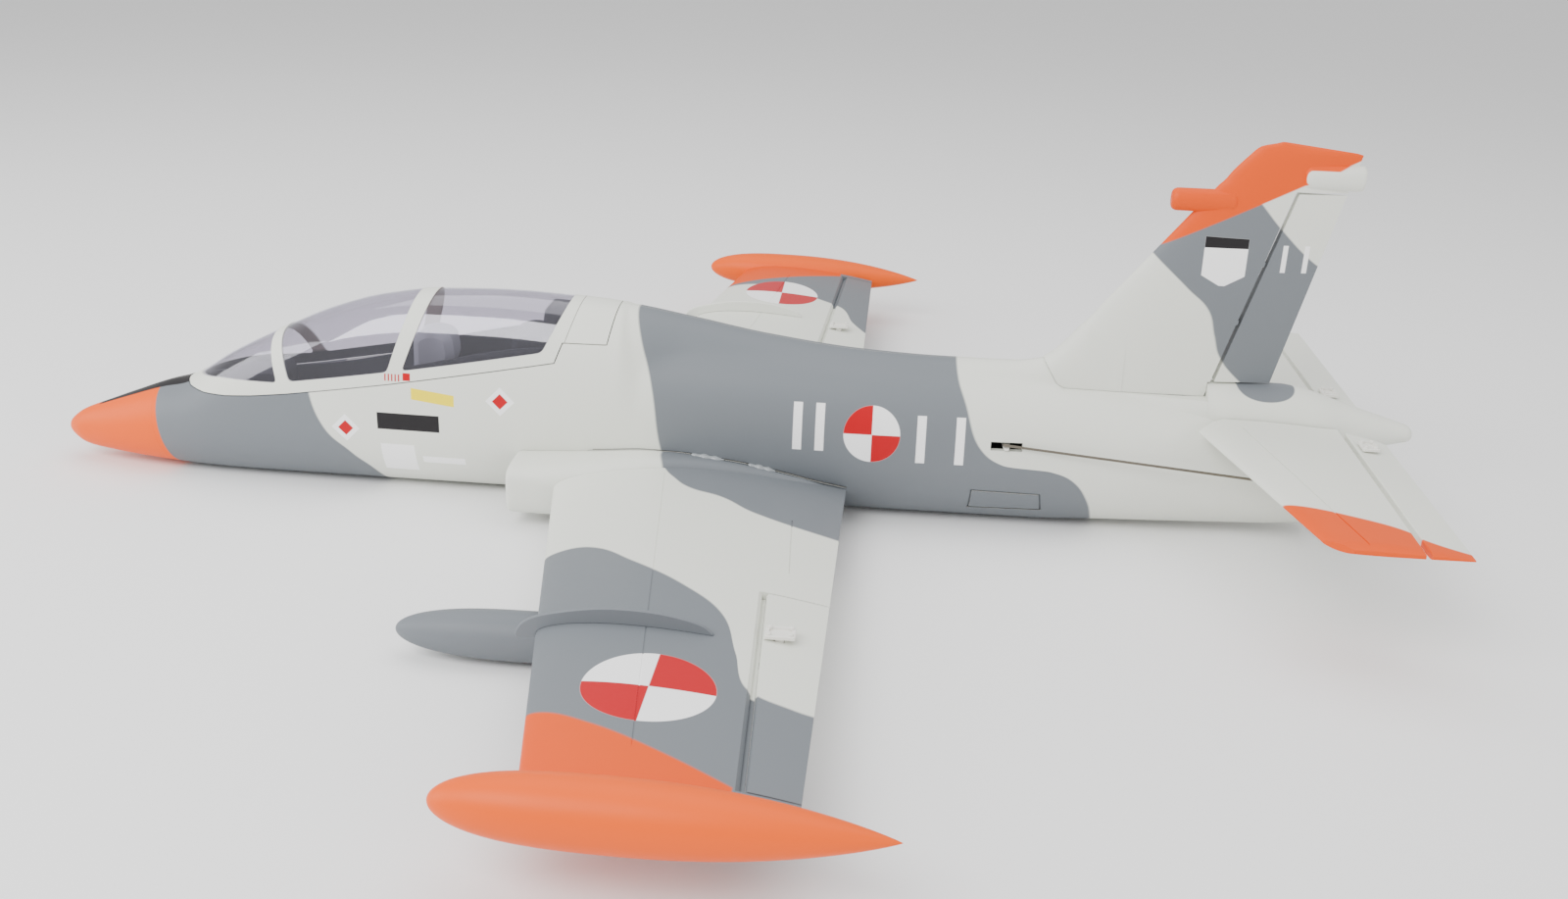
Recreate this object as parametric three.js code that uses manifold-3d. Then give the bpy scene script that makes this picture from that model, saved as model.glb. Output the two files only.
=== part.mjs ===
// A foam radio-controlled jet trainer with a ducted fan, built as separate pieces.
// Millimetres. X runs aft from the nose tip, port is -Y, Z is up from the flat belly.
import * as THREE from 'three';
import { mergeVertices } from 'three/addons/utils/BufferGeometryUtils.js';
import Module from 'manifold-3d';

const wasm = await Module();
wasm.setup();

// ---------------------------------------------------------------- driving dimensions
const LENGTH = 948;            // nose tip to the end of the tail cone
const GAP = 0.3;               // air between two pieces that touch
const FOAM_WALL = 5;           // fuselage shell
const TANK_Y = 450;            // centre line of a tip tank
const TANK_RADIUS = 16.6;
const WING_ROOT_Y = 36;        // the wing starts inside the fuselage side and is trimmed to it
const WING_TRAILING_X = 571.5;
const WING_LEADING_X = 363.5;  // at the centre line, before sweep
const WING_SWEEP = 0.193;
const WING_DIHEDRAL = 0.045;
const WING_Z = 36.9;           // chord plane at x = 0 on the centre line
const WING_INCIDENCE = -0.0243;
const WING_THICKNESS = 0.115;
const CAMBER = 0.012;
const FENCE_Y = 291;
const DROP_TANK = { y: 252.5, z: 15.4, radius: 14.5, nose: 329.2, length: 204, fullest: 0.4 };
const AILERON_HINGE = [[535, 228], [545.6, 429]];   // x, distance from the centre line
const STAB_TRAILING_X = 921.5;
const STAB_LEADING_X = 792;
const STAB_SWEEP = 0.25;
const STAB_TIP_Y = 210;
const STAB_Z = 94.2;           // chord plane at x = 0
const STAB_INCIDENCE = -0.0165;
const ELEVATOR_HINGE_X = 897;
const RUDDER_HINGE = [[812.5, 106], [849.5, 234]];  // x, z at the foot and at the top
const FIN_HALF_ROOT = 9.6;
const FIN_HALF_TIP = 3.6;
const FIN_TOP = 266;
const SEAM_Z = 95.2;           // foot of the fin
const FAIRING_X = 809;         // start of the tail fairing
const HATCH_REAR = 413;
const FAN_X = 575;
const FAN_Z = 42;
const FAN_RADIUS = 32;
const NOZZLE_X = 890;
const SPAR = { x: 490, z: 28, radius: 3, halfLength: 165 };
const HORN_HALF = 0.8;         // half the thickness of horns and servo arms
const ROD_RADIUS = 0.9;

// ---------------------------------------------------------------- curves
// A smooth curve through the given points that never overshoots them.
function smooth(points) {
  const slopes = points.map((p, i) => {
    if (i === 0 || i === points.length - 1) return 0;
    const before = (p[1] - points[i - 1][1]) / (p[0] - points[i - 1][0]);
    const after = (points[i + 1][1] - p[1]) / (points[i + 1][0] - p[0]);
    return before * after <= 0 ? 0 : (2 * before * after) / (before + after);
  });
  return (x) => {
    if (x <= points[0][0]) return points[0][1];
    if (x >= points.at(-1)[0]) return points.at(-1)[1];
    const i = points.findIndex((p) => p[0] > x) - 1;
    const span = points[i + 1][0] - points[i][0];
    const t = (x - points[i][0]) / span;
    const rise = points[i + 1][1] - points[i][1];
    const a = slopes[i] * span;
    const b = slopes[i + 1] * span;
    return points[i][1] + t * (a + t * (3 * rise - 2 * a - b + t * (a + b - 2 * rise)));
  };
}

const crown = smooth([[0, 24], [4, 31.5], [20, 38.8], [50, 50.5], [81, 62], [97, 66.5], [130, 86.5],
  [164, 104], [206, 123], [242, 134], [282, 140], [332, 141.5], [380, 139.5], [419, 136],
  [457, 130], [513, 120], [575, 113], [630, 111], [681, 111.5], [699, 114.5], [712, 118],
  [770, 118], [809, 96], [850, 80], [890, 61]]);
const belly = smooth([[0, 20], [4, 12], [18, 8], [33, 6], [62, 3], [96, 1], [130, 0], [700, 0],
  [741, 1.5], [802, 3.5], [855, 5.5], [890, 7]]);
const beam = smooth([[0, 1.5], [4, 6.5], [15, 11], [40, 19], [85, 29], [130, 35], [180, 38.5],
  [233, 41], [324, 43], [560, 43], [666, 41], [741, 38], [800, 35], [855, 31], [890, 27]]);
const waist = smooth([[0, 22], [20, 23], [66, 30], [96, 34], [130, 42], [180, 46], [233, 49],
  [560, 50], [666, 50], [741, 46], [800, 42], [855, 37], [890, 34]]);
const bellyFlat = smooth([[60, 0], [150, 3], [700, 3], [760, 1.5], [855, 0]]);
const roundness = smooth([[90, 2], [180, 2.3], [700, 2.3], [890, 2]]);
const shoulder = smooth([[HATCH_REAR, 137], [430, 117], [460, 116], [500, 115], [546, 112.5],
  [590, 109.5], [640, 106], [703, 101], [741, 98], [809, 92], [850, 78], [890, 61]]);
const ridge = smooth([[HATCH_REAR, 34], [460, 27], [546, 25], [590, 22], [640, 19], [703, 13],
  [712, 11], [809, 11], [890, 6]]);
const RIDGE_Z = 88;

// Half the width of the fuselage at station x and height z: a body lobe with a spine ridge on it.
function halfWidth(x, z, inset) {
  const e = roundness(x);
  const middle = waist(x);
  const bottom = belly(x) + inset;
  const top = (x < HATCH_REAR ? crown(x) : Math.min(shoulder(x), crown(x))) - inset;
  const flat = Math.max(bellyFlat(x) - inset, 0);
  const side = Math.max(beam(x) - inset, 0.5);
  let width = 0;
  if (z < middle) {
    const t = Math.min((middle - z) / (middle - bottom), 1);
    width = flat + (side - flat) * Math.sqrt(1 - t * t);
  } else if (z < top) {
    width = side * (1 - ((z - middle) / (top - middle)) ** e) ** (1 / e);
  }
  if (x >= HATCH_REAR && z > RIDGE_Z && crown(x) - inset > RIDGE_Z) {
    const t = Math.min((z - RIDGE_Z) / (crown(x) - inset - RIDGE_Z), 1);
    width = Math.max(width, (ridge(x) - inset * 0.6) * Math.sqrt(1 - t * t));
  }
  return width;
}

// One cross-section of the fuselage, from the belly up the port side and down the other.
function bodyRing(x, inset, levels) {
  const bottom = belly(x) + inset;
  const height = crown(x) - inset - bottom;
  const port = [[Math.max(bellyFlat(x) - inset, 0.01), bottom]];
  for (let k = 1; k < levels; k += 1) {
    const z = bottom + (height * (1 - Math.cos((Math.PI * k) / levels))) / 2;
    port.push([halfWidth(x, z, inset), z]);
  }
  const ring = [[0, bottom], ...port.map(([y, z]) => [-y, z]), [0, bottom + height]];
  ring.push(...port.reverse());
  return ring.map(([y, z]) => new THREE.Vector3(x, y, z));
}

// ---------------------------------------------------------------- geometry helpers
function flipWinding(geometry) {
  const index = geometry.index.array;
  for (let i = 0; i < index.length; i += 3) [index[i], index[i + 1]] = [index[i + 1], index[i]];
  return geometry;
}

function signedVolume(geometry) {
  const p = geometry.attributes.position;
  const index = geometry.index.array;
  const corner = [0, 1, 2].map(() => new THREE.Vector3());
  let volume = 0;
  for (let i = 0; i < index.length; i += 3) {
    corner.forEach((c, k) => c.fromBufferAttribute(p, index[i + k]));
    volume += corner[0].dot(corner[1].cross(corner[2])) / 6;
  }
  return volume;
}

// A closed skin over a row of rings that all have the same number of points.
function loft(rings) {
  const count = rings[0].length;
  const points = rings.flat();
  const index = [];
  for (let i = 0; i < rings.length - 1; i += 1) {
    for (let j = 0; j < count; j += 1) {
      const a = i * count + j;
      const b = i * count + ((j + 1) % count);
      index.push(a, b, a + count, b, b + count, a + count);
    }
  }
  for (const [ring, start] of [[rings[0], 0], [rings.at(-1), (rings.length - 1) * count]]) {
    const centre = ring.reduce((sum, p) => sum.add(p), new THREE.Vector3()).divideScalar(count);
    points.push(centre);
    for (let j = 0; j < count; j += 1) {
      const pair = [start + j, start + ((j + 1) % count)];
      index.push(points.length - 1, ...(start ? pair : pair.reverse()));
    }
  }
  const geometry = new THREE.BufferGeometry().setFromPoints(points);
  geometry.setIndex(index);
  return signedVolume(geometry) < 0 ? flipWinding(geometry) : geometry;
}

// A three.js geometry as a solid for joining and cutting.
function solidOf(source) {
  const plain = source.clone();
  plain.deleteAttribute('normal');
  plain.deleteAttribute('uv');
  const merged = mergeVertices(plain, 1e-4);
  const index = [];
  for (let i = 0; i < merged.index.count; i += 3) {
    const [a, b, c] = merged.index.array.slice(i, i + 3);
    if (a !== b && b !== c && c !== a) index.push(a, b, c);
  }
  const mesh = new wasm.Mesh({
    numProp: 3,
    vertProperties: new Float32Array(merged.attributes.position.array),
    triVerts: new Uint32Array(index),
  });
  mesh.merge();
  return new wasm.Manifold(mesh);
}

function geometryOf(solid) {
  const mesh = solid.getMesh();
  const geometry = new THREE.BufferGeometry();
  geometry.setAttribute('position', new THREE.BufferAttribute(mesh.vertProperties, 3));
  geometry.setIndex(new THREE.BufferAttribute(mesh.triVerts, 1));
  return geometry;
}

const join = (...solids) => solids.reduce((whole, next) => whole.add(next));
const cut = (solid, ...tools) => tools.reduce((rest, tool) => rest.subtract(tool), solid);

function mirrored(solid) {
  const geometry = geometryOf(solid);
  geometry.scale(1, -1, 1);
  return solidOf(flipWinding(geometry));
}

function outline(points) {
  return new THREE.Shape(points.map(([a, b]) => new THREE.Vector2(a, b)));
}

// A side-view outline (x, z) carried across from y0 to y1.
function sidePrism(points, y0, y1) {
  const geometry = new THREE.ExtrudeGeometry(outline(points), { depth: y1 - y0, bevelEnabled: false });
  return solidOf(geometry.rotateX(Math.PI / 2).translate(0, y1, 0));
}

// A plan-view outline (x, y) carried up from z0 to z1.
function planPrism(points, z0, z1) {
  const geometry = new THREE.ExtrudeGeometry(outline(points), { depth: z1 - z0, bevelEnabled: false });
  return solidOf(geometry.translate(0, 0, z0));
}

function block(low, high) {
  const size = high.map((h, i) => h - low[i]);
  const middle = high.map((h, i) => (h + low[i]) / 2);
  return solidOf(new THREE.BoxGeometry(...size).translate(...middle));
}

function cylinder(from, to, radius, sides = 16, farRadius = radius) {
  const a = new THREE.Vector3(...from);
  const b = new THREE.Vector3(...to);
  const along = b.clone().sub(a);
  const geometry = new THREE.CylinderGeometry(farRadius, radius, along.length(), sides);
  const turn = new THREE.Quaternion().setFromUnitVectors(new THREE.Vector3(0, 1, 0), along.normalize());
  return solidOf(geometry.applyQuaternion(turn).translate(...a.add(b).divideScalar(2).toArray()));
}

// A body of revolution about a line along X; profile points are x, radius.
function turned(profile, y, z, sides) {
  const points = profile.map(([x, r]) => new THREE.Vector2(r, x));
  const geometry = new THREE.LatheGeometry(points, sides).rotateZ(-Math.PI / 2).translate(0, y, z);
  return solidOf(flipIfNeeded(geometry));
}

function flipIfNeeded(geometry) {
  return signedVolume(geometry) < 0 ? flipWinding(geometry) : geometry;
}

// Moves a solid that was drawn in a local frame.
function placed(solid, matrix) {
  return solidOf(geometryOf(solid).applyMatrix4(matrix));
}

// Half thickness and mean line of a wing section, t running from 0 at the nose to 1 at the tail.
const TAIL_EDGE = 0.0045;
const foilHalf = (t, thickness) => TAIL_EDGE * t + 5 * thickness * (0.2969 * Math.sqrt(t) - 0.126 * t
  - 0.3516 * t * t + 0.2843 * t ** 3 - 0.1036 * t ** 4);
const foilLine = (t, camber) => 4 * camber * t * (1 - t);

// The section's outline for a chord of the given length, over the top and back underneath.
function foil(chord, thickness, steps, camber) {
  const spaced = Array.from({ length: steps + 1 }, (_, k) => (1 - Math.cos((Math.PI * k) / steps)) / 2);
  const point = (t, side) => [t * chord, (foilLine(t, camber) + side * foilHalf(t, thickness)) * chord];
  const upper = spaced.map((t) => point(t, 1));
  const lower = spaced.slice(1).map((t) => point(t, -1));
  return [...upper, ...lower.reverse()];
}

// ---------------------------------------------------------------- the object's groups
const material = {
  foam: new THREE.MeshStandardMaterial({ color: 0xdcded6, roughness: 0.55 }),
  camouflage: new THREE.MeshStandardMaterial({ color: 0x8e9499, roughness: 0.55 }),
  orange: new THREE.MeshStandardMaterial({ color: 0xf2560c, roughness: 0.5 }),
  glass: new THREE.MeshStandardMaterial({ color: 0xa8a6b0, roughness: 0.1, transparent: true, opacity: 0.4 }),
  tub: new THREE.MeshStandardMaterial({ color: 0x3c4046, roughness: 0.7 }),
  seat: new THREE.MeshStandardMaterial({ color: 0x9a9ca0, roughness: 0.6 }),
  clear: new THREE.MeshStandardMaterial({ color: 0xf2f2ee, roughness: 0.4 }),
  black: new THREE.MeshStandardMaterial({ color: 0x1c1c1e, roughness: 0.5 }),
  servo: new THREE.MeshStandardMaterial({ color: 0x2b2d33, roughness: 0.4 }),
  steel: new THREE.MeshStandardMaterial({ color: 0xb4b6ba, roughness: 0.3, metalness: 0.9 }),
  carbon: new THREE.MeshStandardMaterial({ color: 0x202224, roughness: 0.35 }),
  plywood: new THREE.MeshStandardMaterial({ color: 0xc9a874, roughness: 0.7 }),
};

const plane = new THREE.Group();
plane.position.x = -LENGTH / 2;
const moving = {};
for (const name of ['hatch', 'fan', 'surfaces', 'linkages']) {
  moving[name] = new THREE.Group();
  plane.add(moving[name]);
}

function part(name, solid, look, group = plane) {
  const mesh = new THREE.Mesh(geometryOf(solid), look);
  mesh.name = name;
  group.add(mesh);
}

// The same piece on both sides; the solid given is the port one.
function pair(name, solid, look, group = plane) {
  part(`left_${name}`, solid, look, group);
  part(`right_${name}`, mirrored(solid), look, group);
}

// ---------------------------------------------------------------- fuselage shapes
const BODY_STATIONS = [0, 4, 12, 24, 42, 64, 90, 130, 180, 235, 285, 332, 376, 412.9, 413, 424, 440,
  470, 513, 560, 620, 680, 712, 760, 809, 850, NOZZLE_X];
const bodyShape = (inset, stations = BODY_STATIONS, levels = 10) => (
  solidOf(loft(stations.map((x) => bodyRing(x, inset, levels)))));

const outer = bodyShape(0);
const outerGrown = bodyShape(-1.5 * GAP);    // keeps the gap where the facets of two rings differ

// Room inside the shell, open at the nozzle.
function cavityShape(extra) {
  const wall = smooth([[90, FOAM_WALL], [760, 4.5], [NOZZLE_X, 3]]);
  const stations = [93, 130, 180, 235, 332, 412.9, 413, 440, 513, 560, 620, 680, 740, 809, 850, NOZZLE_X];
  const rings = stations.map((x) => bodyRing(x, wall(x) + extra, 8));
  const end = rings.at(-1).map((p) => p.clone().setX(NOZZLE_X + 6));
  return solidOf(loft([...rings, end]));
}

// Side-view outlines of the cuts between the body pieces.
const NOSE_CUT = [[-10, -10], [85, -10], [68, 90], [-10, 90]];
const HATCH = [[95.5, 66], [130, 65.2], [152, 65], [180, 67], [254, 81], [371, 103], [376, 116],
  [406, 116], [413, 150], [95, 150]];
const FRAME_REAR = [[377, 116], [388.5, 150]];
const FIN_SEAM = [[699, 116], [709, SEAM_Z + 4.5], [714, SEAM_Z + 2], [FAIRING_X, SEAM_Z], [FAIRING_X, 105.4],
  [960, 105.4], [960, 300], [640, 300], [640, 130]];

// Grows or shrinks an outline by moving each edge along its normal.
function offset(points, distance) {
  const area = points.reduce((sum, [x, z], i) => {
    const [u, v] = points[(i + 1) % points.length];
    return sum + x * v - u * z;
  }, 0);
  const sign = Math.sign(area);
  return points.map((p, i) => {
    const before = points.at(i - 1);
    const after = points[(i + 1) % points.length];
    const one = new THREE.Vector2(p[0] - before[0], p[1] - before[1]).normalize();
    const two = new THREE.Vector2(after[0] - p[0], after[1] - p[1]).normalize();
    const normal = new THREE.Vector2(one.y + two.y, -one.x - two.x).normalize();
    const stretch = distance / Math.max(normal.dot(new THREE.Vector2(one.y, -one.x)), 0.4);
    return [p[0] + sign * normal.x * stretch, p[1] + sign * normal.y * stretch];
  });
}

const across = (points) => sidePrism(points, -60, 60);
const hatchCut = across(offset(HATCH, GAP / 2));
const hatchKeep = across(offset(HATCH, -GAP / 2));
const finSeamCut = across(offset(FIN_SEAM, GAP / 2));
const finSeamKeep = across(offset(FIN_SEAM, -GAP / 2));

// Tail fairing: an oval boom over the nozzle that carries the stabilizers.
const fairingTop = smooth([[FAIRING_X, 104.5], [867, 104.5], [904, 93], [943, 83], [948, 77]]);
const fairingBottom = smooth([[FAIRING_X, 62.5], [867, 62.5], [904, 62.8], [939, 64], [948, 69]]);
const fairingHalf = smooth([[FAIRING_X, 19], [825, 21], [890, 21], [904, 17], [943, 9.5], [948, 4.5]]);
const fairingShape = (grow) => solidOf(loft([FAIRING_X - grow, 822, 845, 867, 886, 904, 924, 941,
  LENGTH + grow].map((x) => {
  const middle = (fairingTop(x) + fairingBottom(x)) / 2;
  const high = (fairingTop(x) - fairingBottom(x)) / 2 + grow;
  return Array.from({ length: 20 }, (_, k) => {
    const angle = (2 * Math.PI * k) / 20;
    return new THREE.Vector3(x, (fairingHalf(x) + grow) * Math.sin(angle), middle - high * Math.cos(angle));
  });
})));

// ---------------------------------------------------------------- air passages
// Rounded box rings: x, centre y, centre z, half width, half height, squareness.
function passageRing([x, y, z, wide, high, e], grow) {
  return Array.from({ length: 16 }, (_, k) => {
    const angle = (2 * Math.PI * (k + 0.5)) / 16;
    const c = Math.cos(angle);
    const s = Math.sin(angle);
    return new THREE.Vector3(x, y + (wide + grow) * Math.sign(c) * Math.abs(c) ** (2 / e),
      z + (high + grow) * Math.sign(s) * Math.abs(s) ** (2 / e));
  });
}
const PASSAGE = [[335, -61.5, 25.5, 17, 14, 4], [375, -57, 26, 17.5, 13.5, 4], [410, -46, 28, 16.5, 14, 3.5],
  [450, -28, 31, 15.5, 16, 3], [500, -18, 38, 17, 24, 2.5], [545, -8, 41.5, 24, 29.5, 2.2],
  [FAN_X - 0.5, 0, FAN_Z, 31.5, 31.5, 2]];
const passageShape = (grow) => solidOf(loft(PASSAGE.map((ring) => passageRing(ring, grow))));
const bothSides = (solid) => solid.add(mirrored(solid));

const INTAKE = [[346, -58.5, 25, 22.5, 17, 4], [375, -59, 25.8, 23, 17.7, 4], [400, -56.5, 27, 22.5, 18, 3.6],
  [430, -52, 29.2, 18.5, 18.1, 3.2], [460, -48, 30.2, 12.5, 16.3, 2.8], [500, -44.5, 29.3, 8.5, 12.3, 2.4],
  [560, -41.5, 26.5, 5, 4.5, 2.2]];
const intakeShape = (grow) => solidOf(loft(INTAKE.map((ring) => passageRing(ring, grow))));

// Thrust tube on a line that falls from the fan to the nozzle.
const TUBE_STATIONS = [635, 650, 677, 741, 820];
const tubeRadius = smooth([[620, 33], [650, 30], [677, 28.6], [741, 27.4], [NOZZLE_X - 2, 23.4]]);
const tubeZ = (x) => FAN_Z - (8 * (x - 620)) / (NOZZLE_X - 622);
const tubeRing = (x, grow) => passageRing([x, 0, tubeZ(x), tubeRadius(x), tubeRadius(x), 2], grow);
const tubeShape = (grow, ends) => solidOf(loft(
  [620.5 - ends, ...TUBE_STATIONS, NOZZLE_X - 2 + ends].map((x) => tubeRing(x, grow))));

// ---------------------------------------------------------------- servos, arms, rods
// A small servo. Its shaft stands on the origin and points up; the case hangs below.
const SERVO = { long: 20, wide: 9, tall: 16.5, shaftToEnd: 5, boss: 2.6 };
const SERVO_CLEAR = 0.4;       // air around a servo in its pocket
function servoShape() {
  const low = [-SERVO.shaftToEnd, -SERVO.wide / 2, -SERVO.boss - SERVO.tall];
  const high = [SERVO.long - SERVO.shaftToEnd, SERVO.wide / 2, -SERVO.boss];
  const lugZ = -SERVO.boss - 5;
  return join(block(low, high),
    block([low[0] - 3.6, low[1], lugZ - 1.4], [high[0] + 3.6, high[1], lugZ]),
    cylinder([0, 0, -SERVO.boss - 1], [0, 0, 0], 3.2, 14));
}
// Room for that servo and its arm, open along -Y as far as the distance given.
function servoRoom(openTo) {
  const end = SERVO.long - SERVO.shaftToEnd;
  const side = SERVO.wide / 2 + SERVO_CLEAR;
  return join(
    block([-SERVO.shaftToEnd - SERVO_CLEAR, -openTo, -SERVO.boss - SERVO.tall - SERVO_CLEAR],
      [end + SERVO_CLEAR, side, -SERVO.boss + SERVO_CLEAR]),
    block([-SERVO.shaftToEnd - 4, -openTo, -SERVO.boss - 6.9], [end + 4, side, -SERVO.boss - 4.6]),
    block([-8, -openTo, -SERVO.boss - 1], [8, 4.2, 2 * HORN_HALF + 2 * GAP + SERVO_CLEAR]));
}

// A servo arm that lies in its local XY plane and points along -Y.
function armShape(radius) {
  const hub = 3.3;
  const tip = 1.9;
  const arc = (cy, r, from, to) => Array.from({ length: 7 }, (_, k) => {
    const angle = from + ((to - from) * k) / 6;
    return [r * Math.cos(angle), cy + r * Math.sin(angle)];
  });
  return planPrism([...arc(0, hub, 0, Math.PI), ...arc(-radius, tip, Math.PI, 2 * Math.PI)],
    -HORN_HALF, HORN_HALF);
}

function frameAt(origin, xAxis, zAxis) {
  const x = new THREE.Vector3(...xAxis).normalize();
  const z = new THREE.Vector3(...zAxis).normalize();
  const matrix = new THREE.Matrix4().makeBasis(x, z.clone().cross(x), z);
  return matrix.setPosition(...origin);
}

// A push rod with a flat clevis at its aft end.
function rodShape(from, to, side) {
  const clevis = 8;
  const direction = new THREE.Vector3(...to).sub(new THREE.Vector3(...from)).normalize();
  const start = new THREE.Vector3(...to).addScaledVector(direction, -clevis);
  const beyond = new THREE.Vector3(...to).addScaledVector(direction, 2);
  const half = side.map((v) => (v ? ROD_RADIUS : 1.5));
  const shape = cylinder(from, start.clone().addScaledVector(direction, 1).toArray(), ROD_RADIUS, 8);
  const low = start.toArray().map((v, i) => Math.min(v, beyond.getComponent(i)) - half[i]);
  const high = start.toArray().map((v, i) => Math.max(v, beyond.getComponent(i)) + half[i]);
  return shape.add(block(low, high));
}

// ---------------------------------------------------------------- wing
const wingLeading = (y) => WING_LEADING_X + WING_SWEEP * y;
const wingPlane = (x, y) => WING_Z + WING_DIHEDRAL * y + WING_INCIDENCE * x;
// Rings of the port wing; grow thickens it all round.
function wingRing(y, grow) {
  const leading = wingLeading(y) - grow;
  const chord = WING_TRAILING_X + grow - leading;
  return foil(chord, WING_THICKNESS + (2 * grow) / chord, 10, CAMBER).map(([along, up]) => (
    new THREE.Vector3(leading + along, -y, wingPlane(leading + along, y) + up)));
}
const wingShape = (grow) => solidOf(loft([WING_ROOT_Y, 150, 290, 436].map((y) => wingRing(y, grow))));
// Height of the wing's skin over a point: side is 1 for the top, -1 for the underside, 0 for mid-thickness.
const wingSkin = (x, y, side) => {
  const chord = WING_TRAILING_X - wingLeading(y);
  const t = (x - wingLeading(y)) / chord;
  return wingPlane(x, y) + chord * (foilLine(t, CAMBER) + side * foilHalf(t, WING_THICKNESS));
};

// The hinge line moved fore or aft, as a plan outline back to behind the trailing edge.
function behindHinge(shift, inboard, outboard) {
  const [[x0, y0], [x1, y1]] = AILERON_HINGE;
  const slope = (x1 - x0) / (y1 - y0);
  const at = (y) => x0 + (y - y0) * slope + shift;
  return [[at(inboard), -inboard], [600, -inboard], [600, -outboard], [at(outboard), -outboard]];
}
const AILERON_IN = 229;
const AILERON_OUT = 429;

const AILERON_ARM = { x: 470, y: 280, z: 35.8, radius: 13 };
const AILERON_HORN = { x: 537.6, y: 280 };
const aileronHingeZ = wingSkin(AILERON_HORN.x, AILERON_HORN.y, 0);
const aileronServoFrame = frameAt([AILERON_ARM.x, -AILERON_ARM.y + HORN_HALF + GAP, AILERON_ARM.z],
  [1, 0, 0], [0, -1, 0]);

const spar = cylinder([SPAR.x, -SPAR.halfLength, SPAR.z], [SPAR.x, SPAR.halfLength, SPAR.z], SPAR.radius, 16);
const sparRoom = cylinder([SPAR.x, -SPAR.halfLength - GAP, SPAR.z], [SPAR.x, SPAR.halfLength + GAP, SPAR.z],
  SPAR.radius + GAP, 16);

// ---------------------------------------------------------------- tip and drop tanks
function tankProfile(from, to, radius, fullest, grow) {
  const steps = 11;
  const profile = [];
  for (let k = 0; k <= steps; k += 1) {
    const t = (1 - Math.cos((Math.PI * k) / steps)) / 2;
    const x = from + (to - from) * t;
    const u = t < fullest ? 1 - t / fullest : (t - fullest) / (1 - fullest);
    const r = t < fullest ? Math.sqrt(1 - u ** 2.9) : (1 - u ** 2.1) ** 0.9;
    profile.push([x, k === 0 || k === steps ? 0 : radius * r + grow]);
  }
  profile[0][0] -= grow;
  profile.at(-1)[0] += grow;
  return profile;
}
const TANK = { nose: 412, tail: 616, noseZ: 46, droop: 0.018, fullest: 0.4 };
function tankShape(grow) {
  const level = turned(tankProfile(0, TANK.tail - TANK.nose, TANK_RADIUS, TANK.fullest, grow), 0, 0, 16);
  const matrix = new THREE.Matrix4().makeRotationY(TANK.droop);
  return placed(level, matrix.setPosition(TANK.nose, -TANK_Y, TANK.noseZ));
}

const dropTank = turned(tankProfile(DROP_TANK.nose, DROP_TANK.nose + DROP_TANK.length, DROP_TANK.radius,
  DROP_TANK.fullest, 0), -DROP_TANK.y, DROP_TANK.z, 14);
const pylon = sidePrism([[408, 20], [426, 36], [500, 36], [488, 20]], -DROP_TANK.y - 3, -DROP_TANK.y + 3);

// ---------------------------------------------------------------- fin and rudder
const hingeX = (z) => RUDDER_HINGE[0][0] + ((z - RUDDER_HINGE[0][1])
  * (RUDDER_HINGE[1][0] - RUDDER_HINGE[0][0])) / (RUDDER_HINGE[1][1] - RUDDER_HINGE[0][1]);
const RUDDER_TILT = Math.atan2(RUDDER_HINGE[1][0] - RUDDER_HINGE[0][0],
  RUDDER_HINGE[1][1] - RUDDER_HINGE[0][1]);
const RUDDER_LOW = 107.2;
const RUDDER_HIGH = 233.6;
const finLeading = (z) => 726 + (z - 143) * 0.787;
const finTrailing = (z) => 851 + (z - 107) * 0.234;
const finHalf = (z) => FIN_HALF_ROOT + ((z - SEAM_Z) * (FIN_HALF_TIP - FIN_HALF_ROOT)) / (FIN_TOP - SEAM_Z);

function finRing(z, grow) {
  const leading = finLeading(z) - grow;
  const chord = finTrailing(z) + grow - leading;
  return foil(chord, (2 * (finHalf(z) + grow)) / chord, 9, 0).map(([along, side]) => (
    new THREE.Vector3(leading + along, side, z)));
}
const finShape = (grow) => solidOf(loft(
  [SEAM_Z - 12, 143, 200, FIN_TOP + grow].map((z) => finRing(z, grow))));

// The tip outline, with its rounded leading corner.
const FIN_TIP = [[640, 60], [640, 236], [797, 236], [801, 238], [816, 256], [823, 262.5], [829, 265.2],
  [836, FIN_TOP], [887, 260], [887, 60]];
const finFoot = sidePrism([[699.3, 114], [699.3, 116.5], [711, 126], [730, 148], [745, 130], [745, SEAM_Z],
  [712, SEAM_Z]], -5, 5);
// Flat-ended bullets on the leading edge and over the rudder.
const bullet = (x0, x1, z, high, half) => {
  const ring = (x, f) => Array.from({ length: 12 }, (_, k) => {
    const angle = (2 * Math.PI * (k + 0.5)) / 12;
    return new THREE.Vector3(x, half * f * Math.sin(angle), z + high * f * Math.cos(angle));
  });
  return solidOf(loft([ring(x0, 0.72), ring(x0 + 3, 1), ring(x1 - 2, 1), ring(x1, 0.8)]));
};

const rudderFrame = new THREE.Matrix4().makeRotationY(RUDDER_TILT).setPosition(
  RUDDER_HINGE[0][0], 0, RUDDER_HINGE[0][1]);
const RUDDER_ARM = { along: -62, side: 2, up: 38, radius: 11.5 };
// In the tilted frame the servo's shaft points up and its arm points to starboard.
const rudderServoFrame = rudderFrame.clone().multiply(frameAt(
  [RUDDER_ARM.along, RUDDER_ARM.side, RUDDER_ARM.up - HORN_HALF - GAP], [1, 0, 0], [0, 0, 1]));
const rudderArmFrame = rudderFrame.clone().multiply(frameAt(
  [RUDDER_ARM.along, RUDDER_ARM.side, RUDDER_ARM.up], [-1, 0, 0], [0, 0, 1]));

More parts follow.
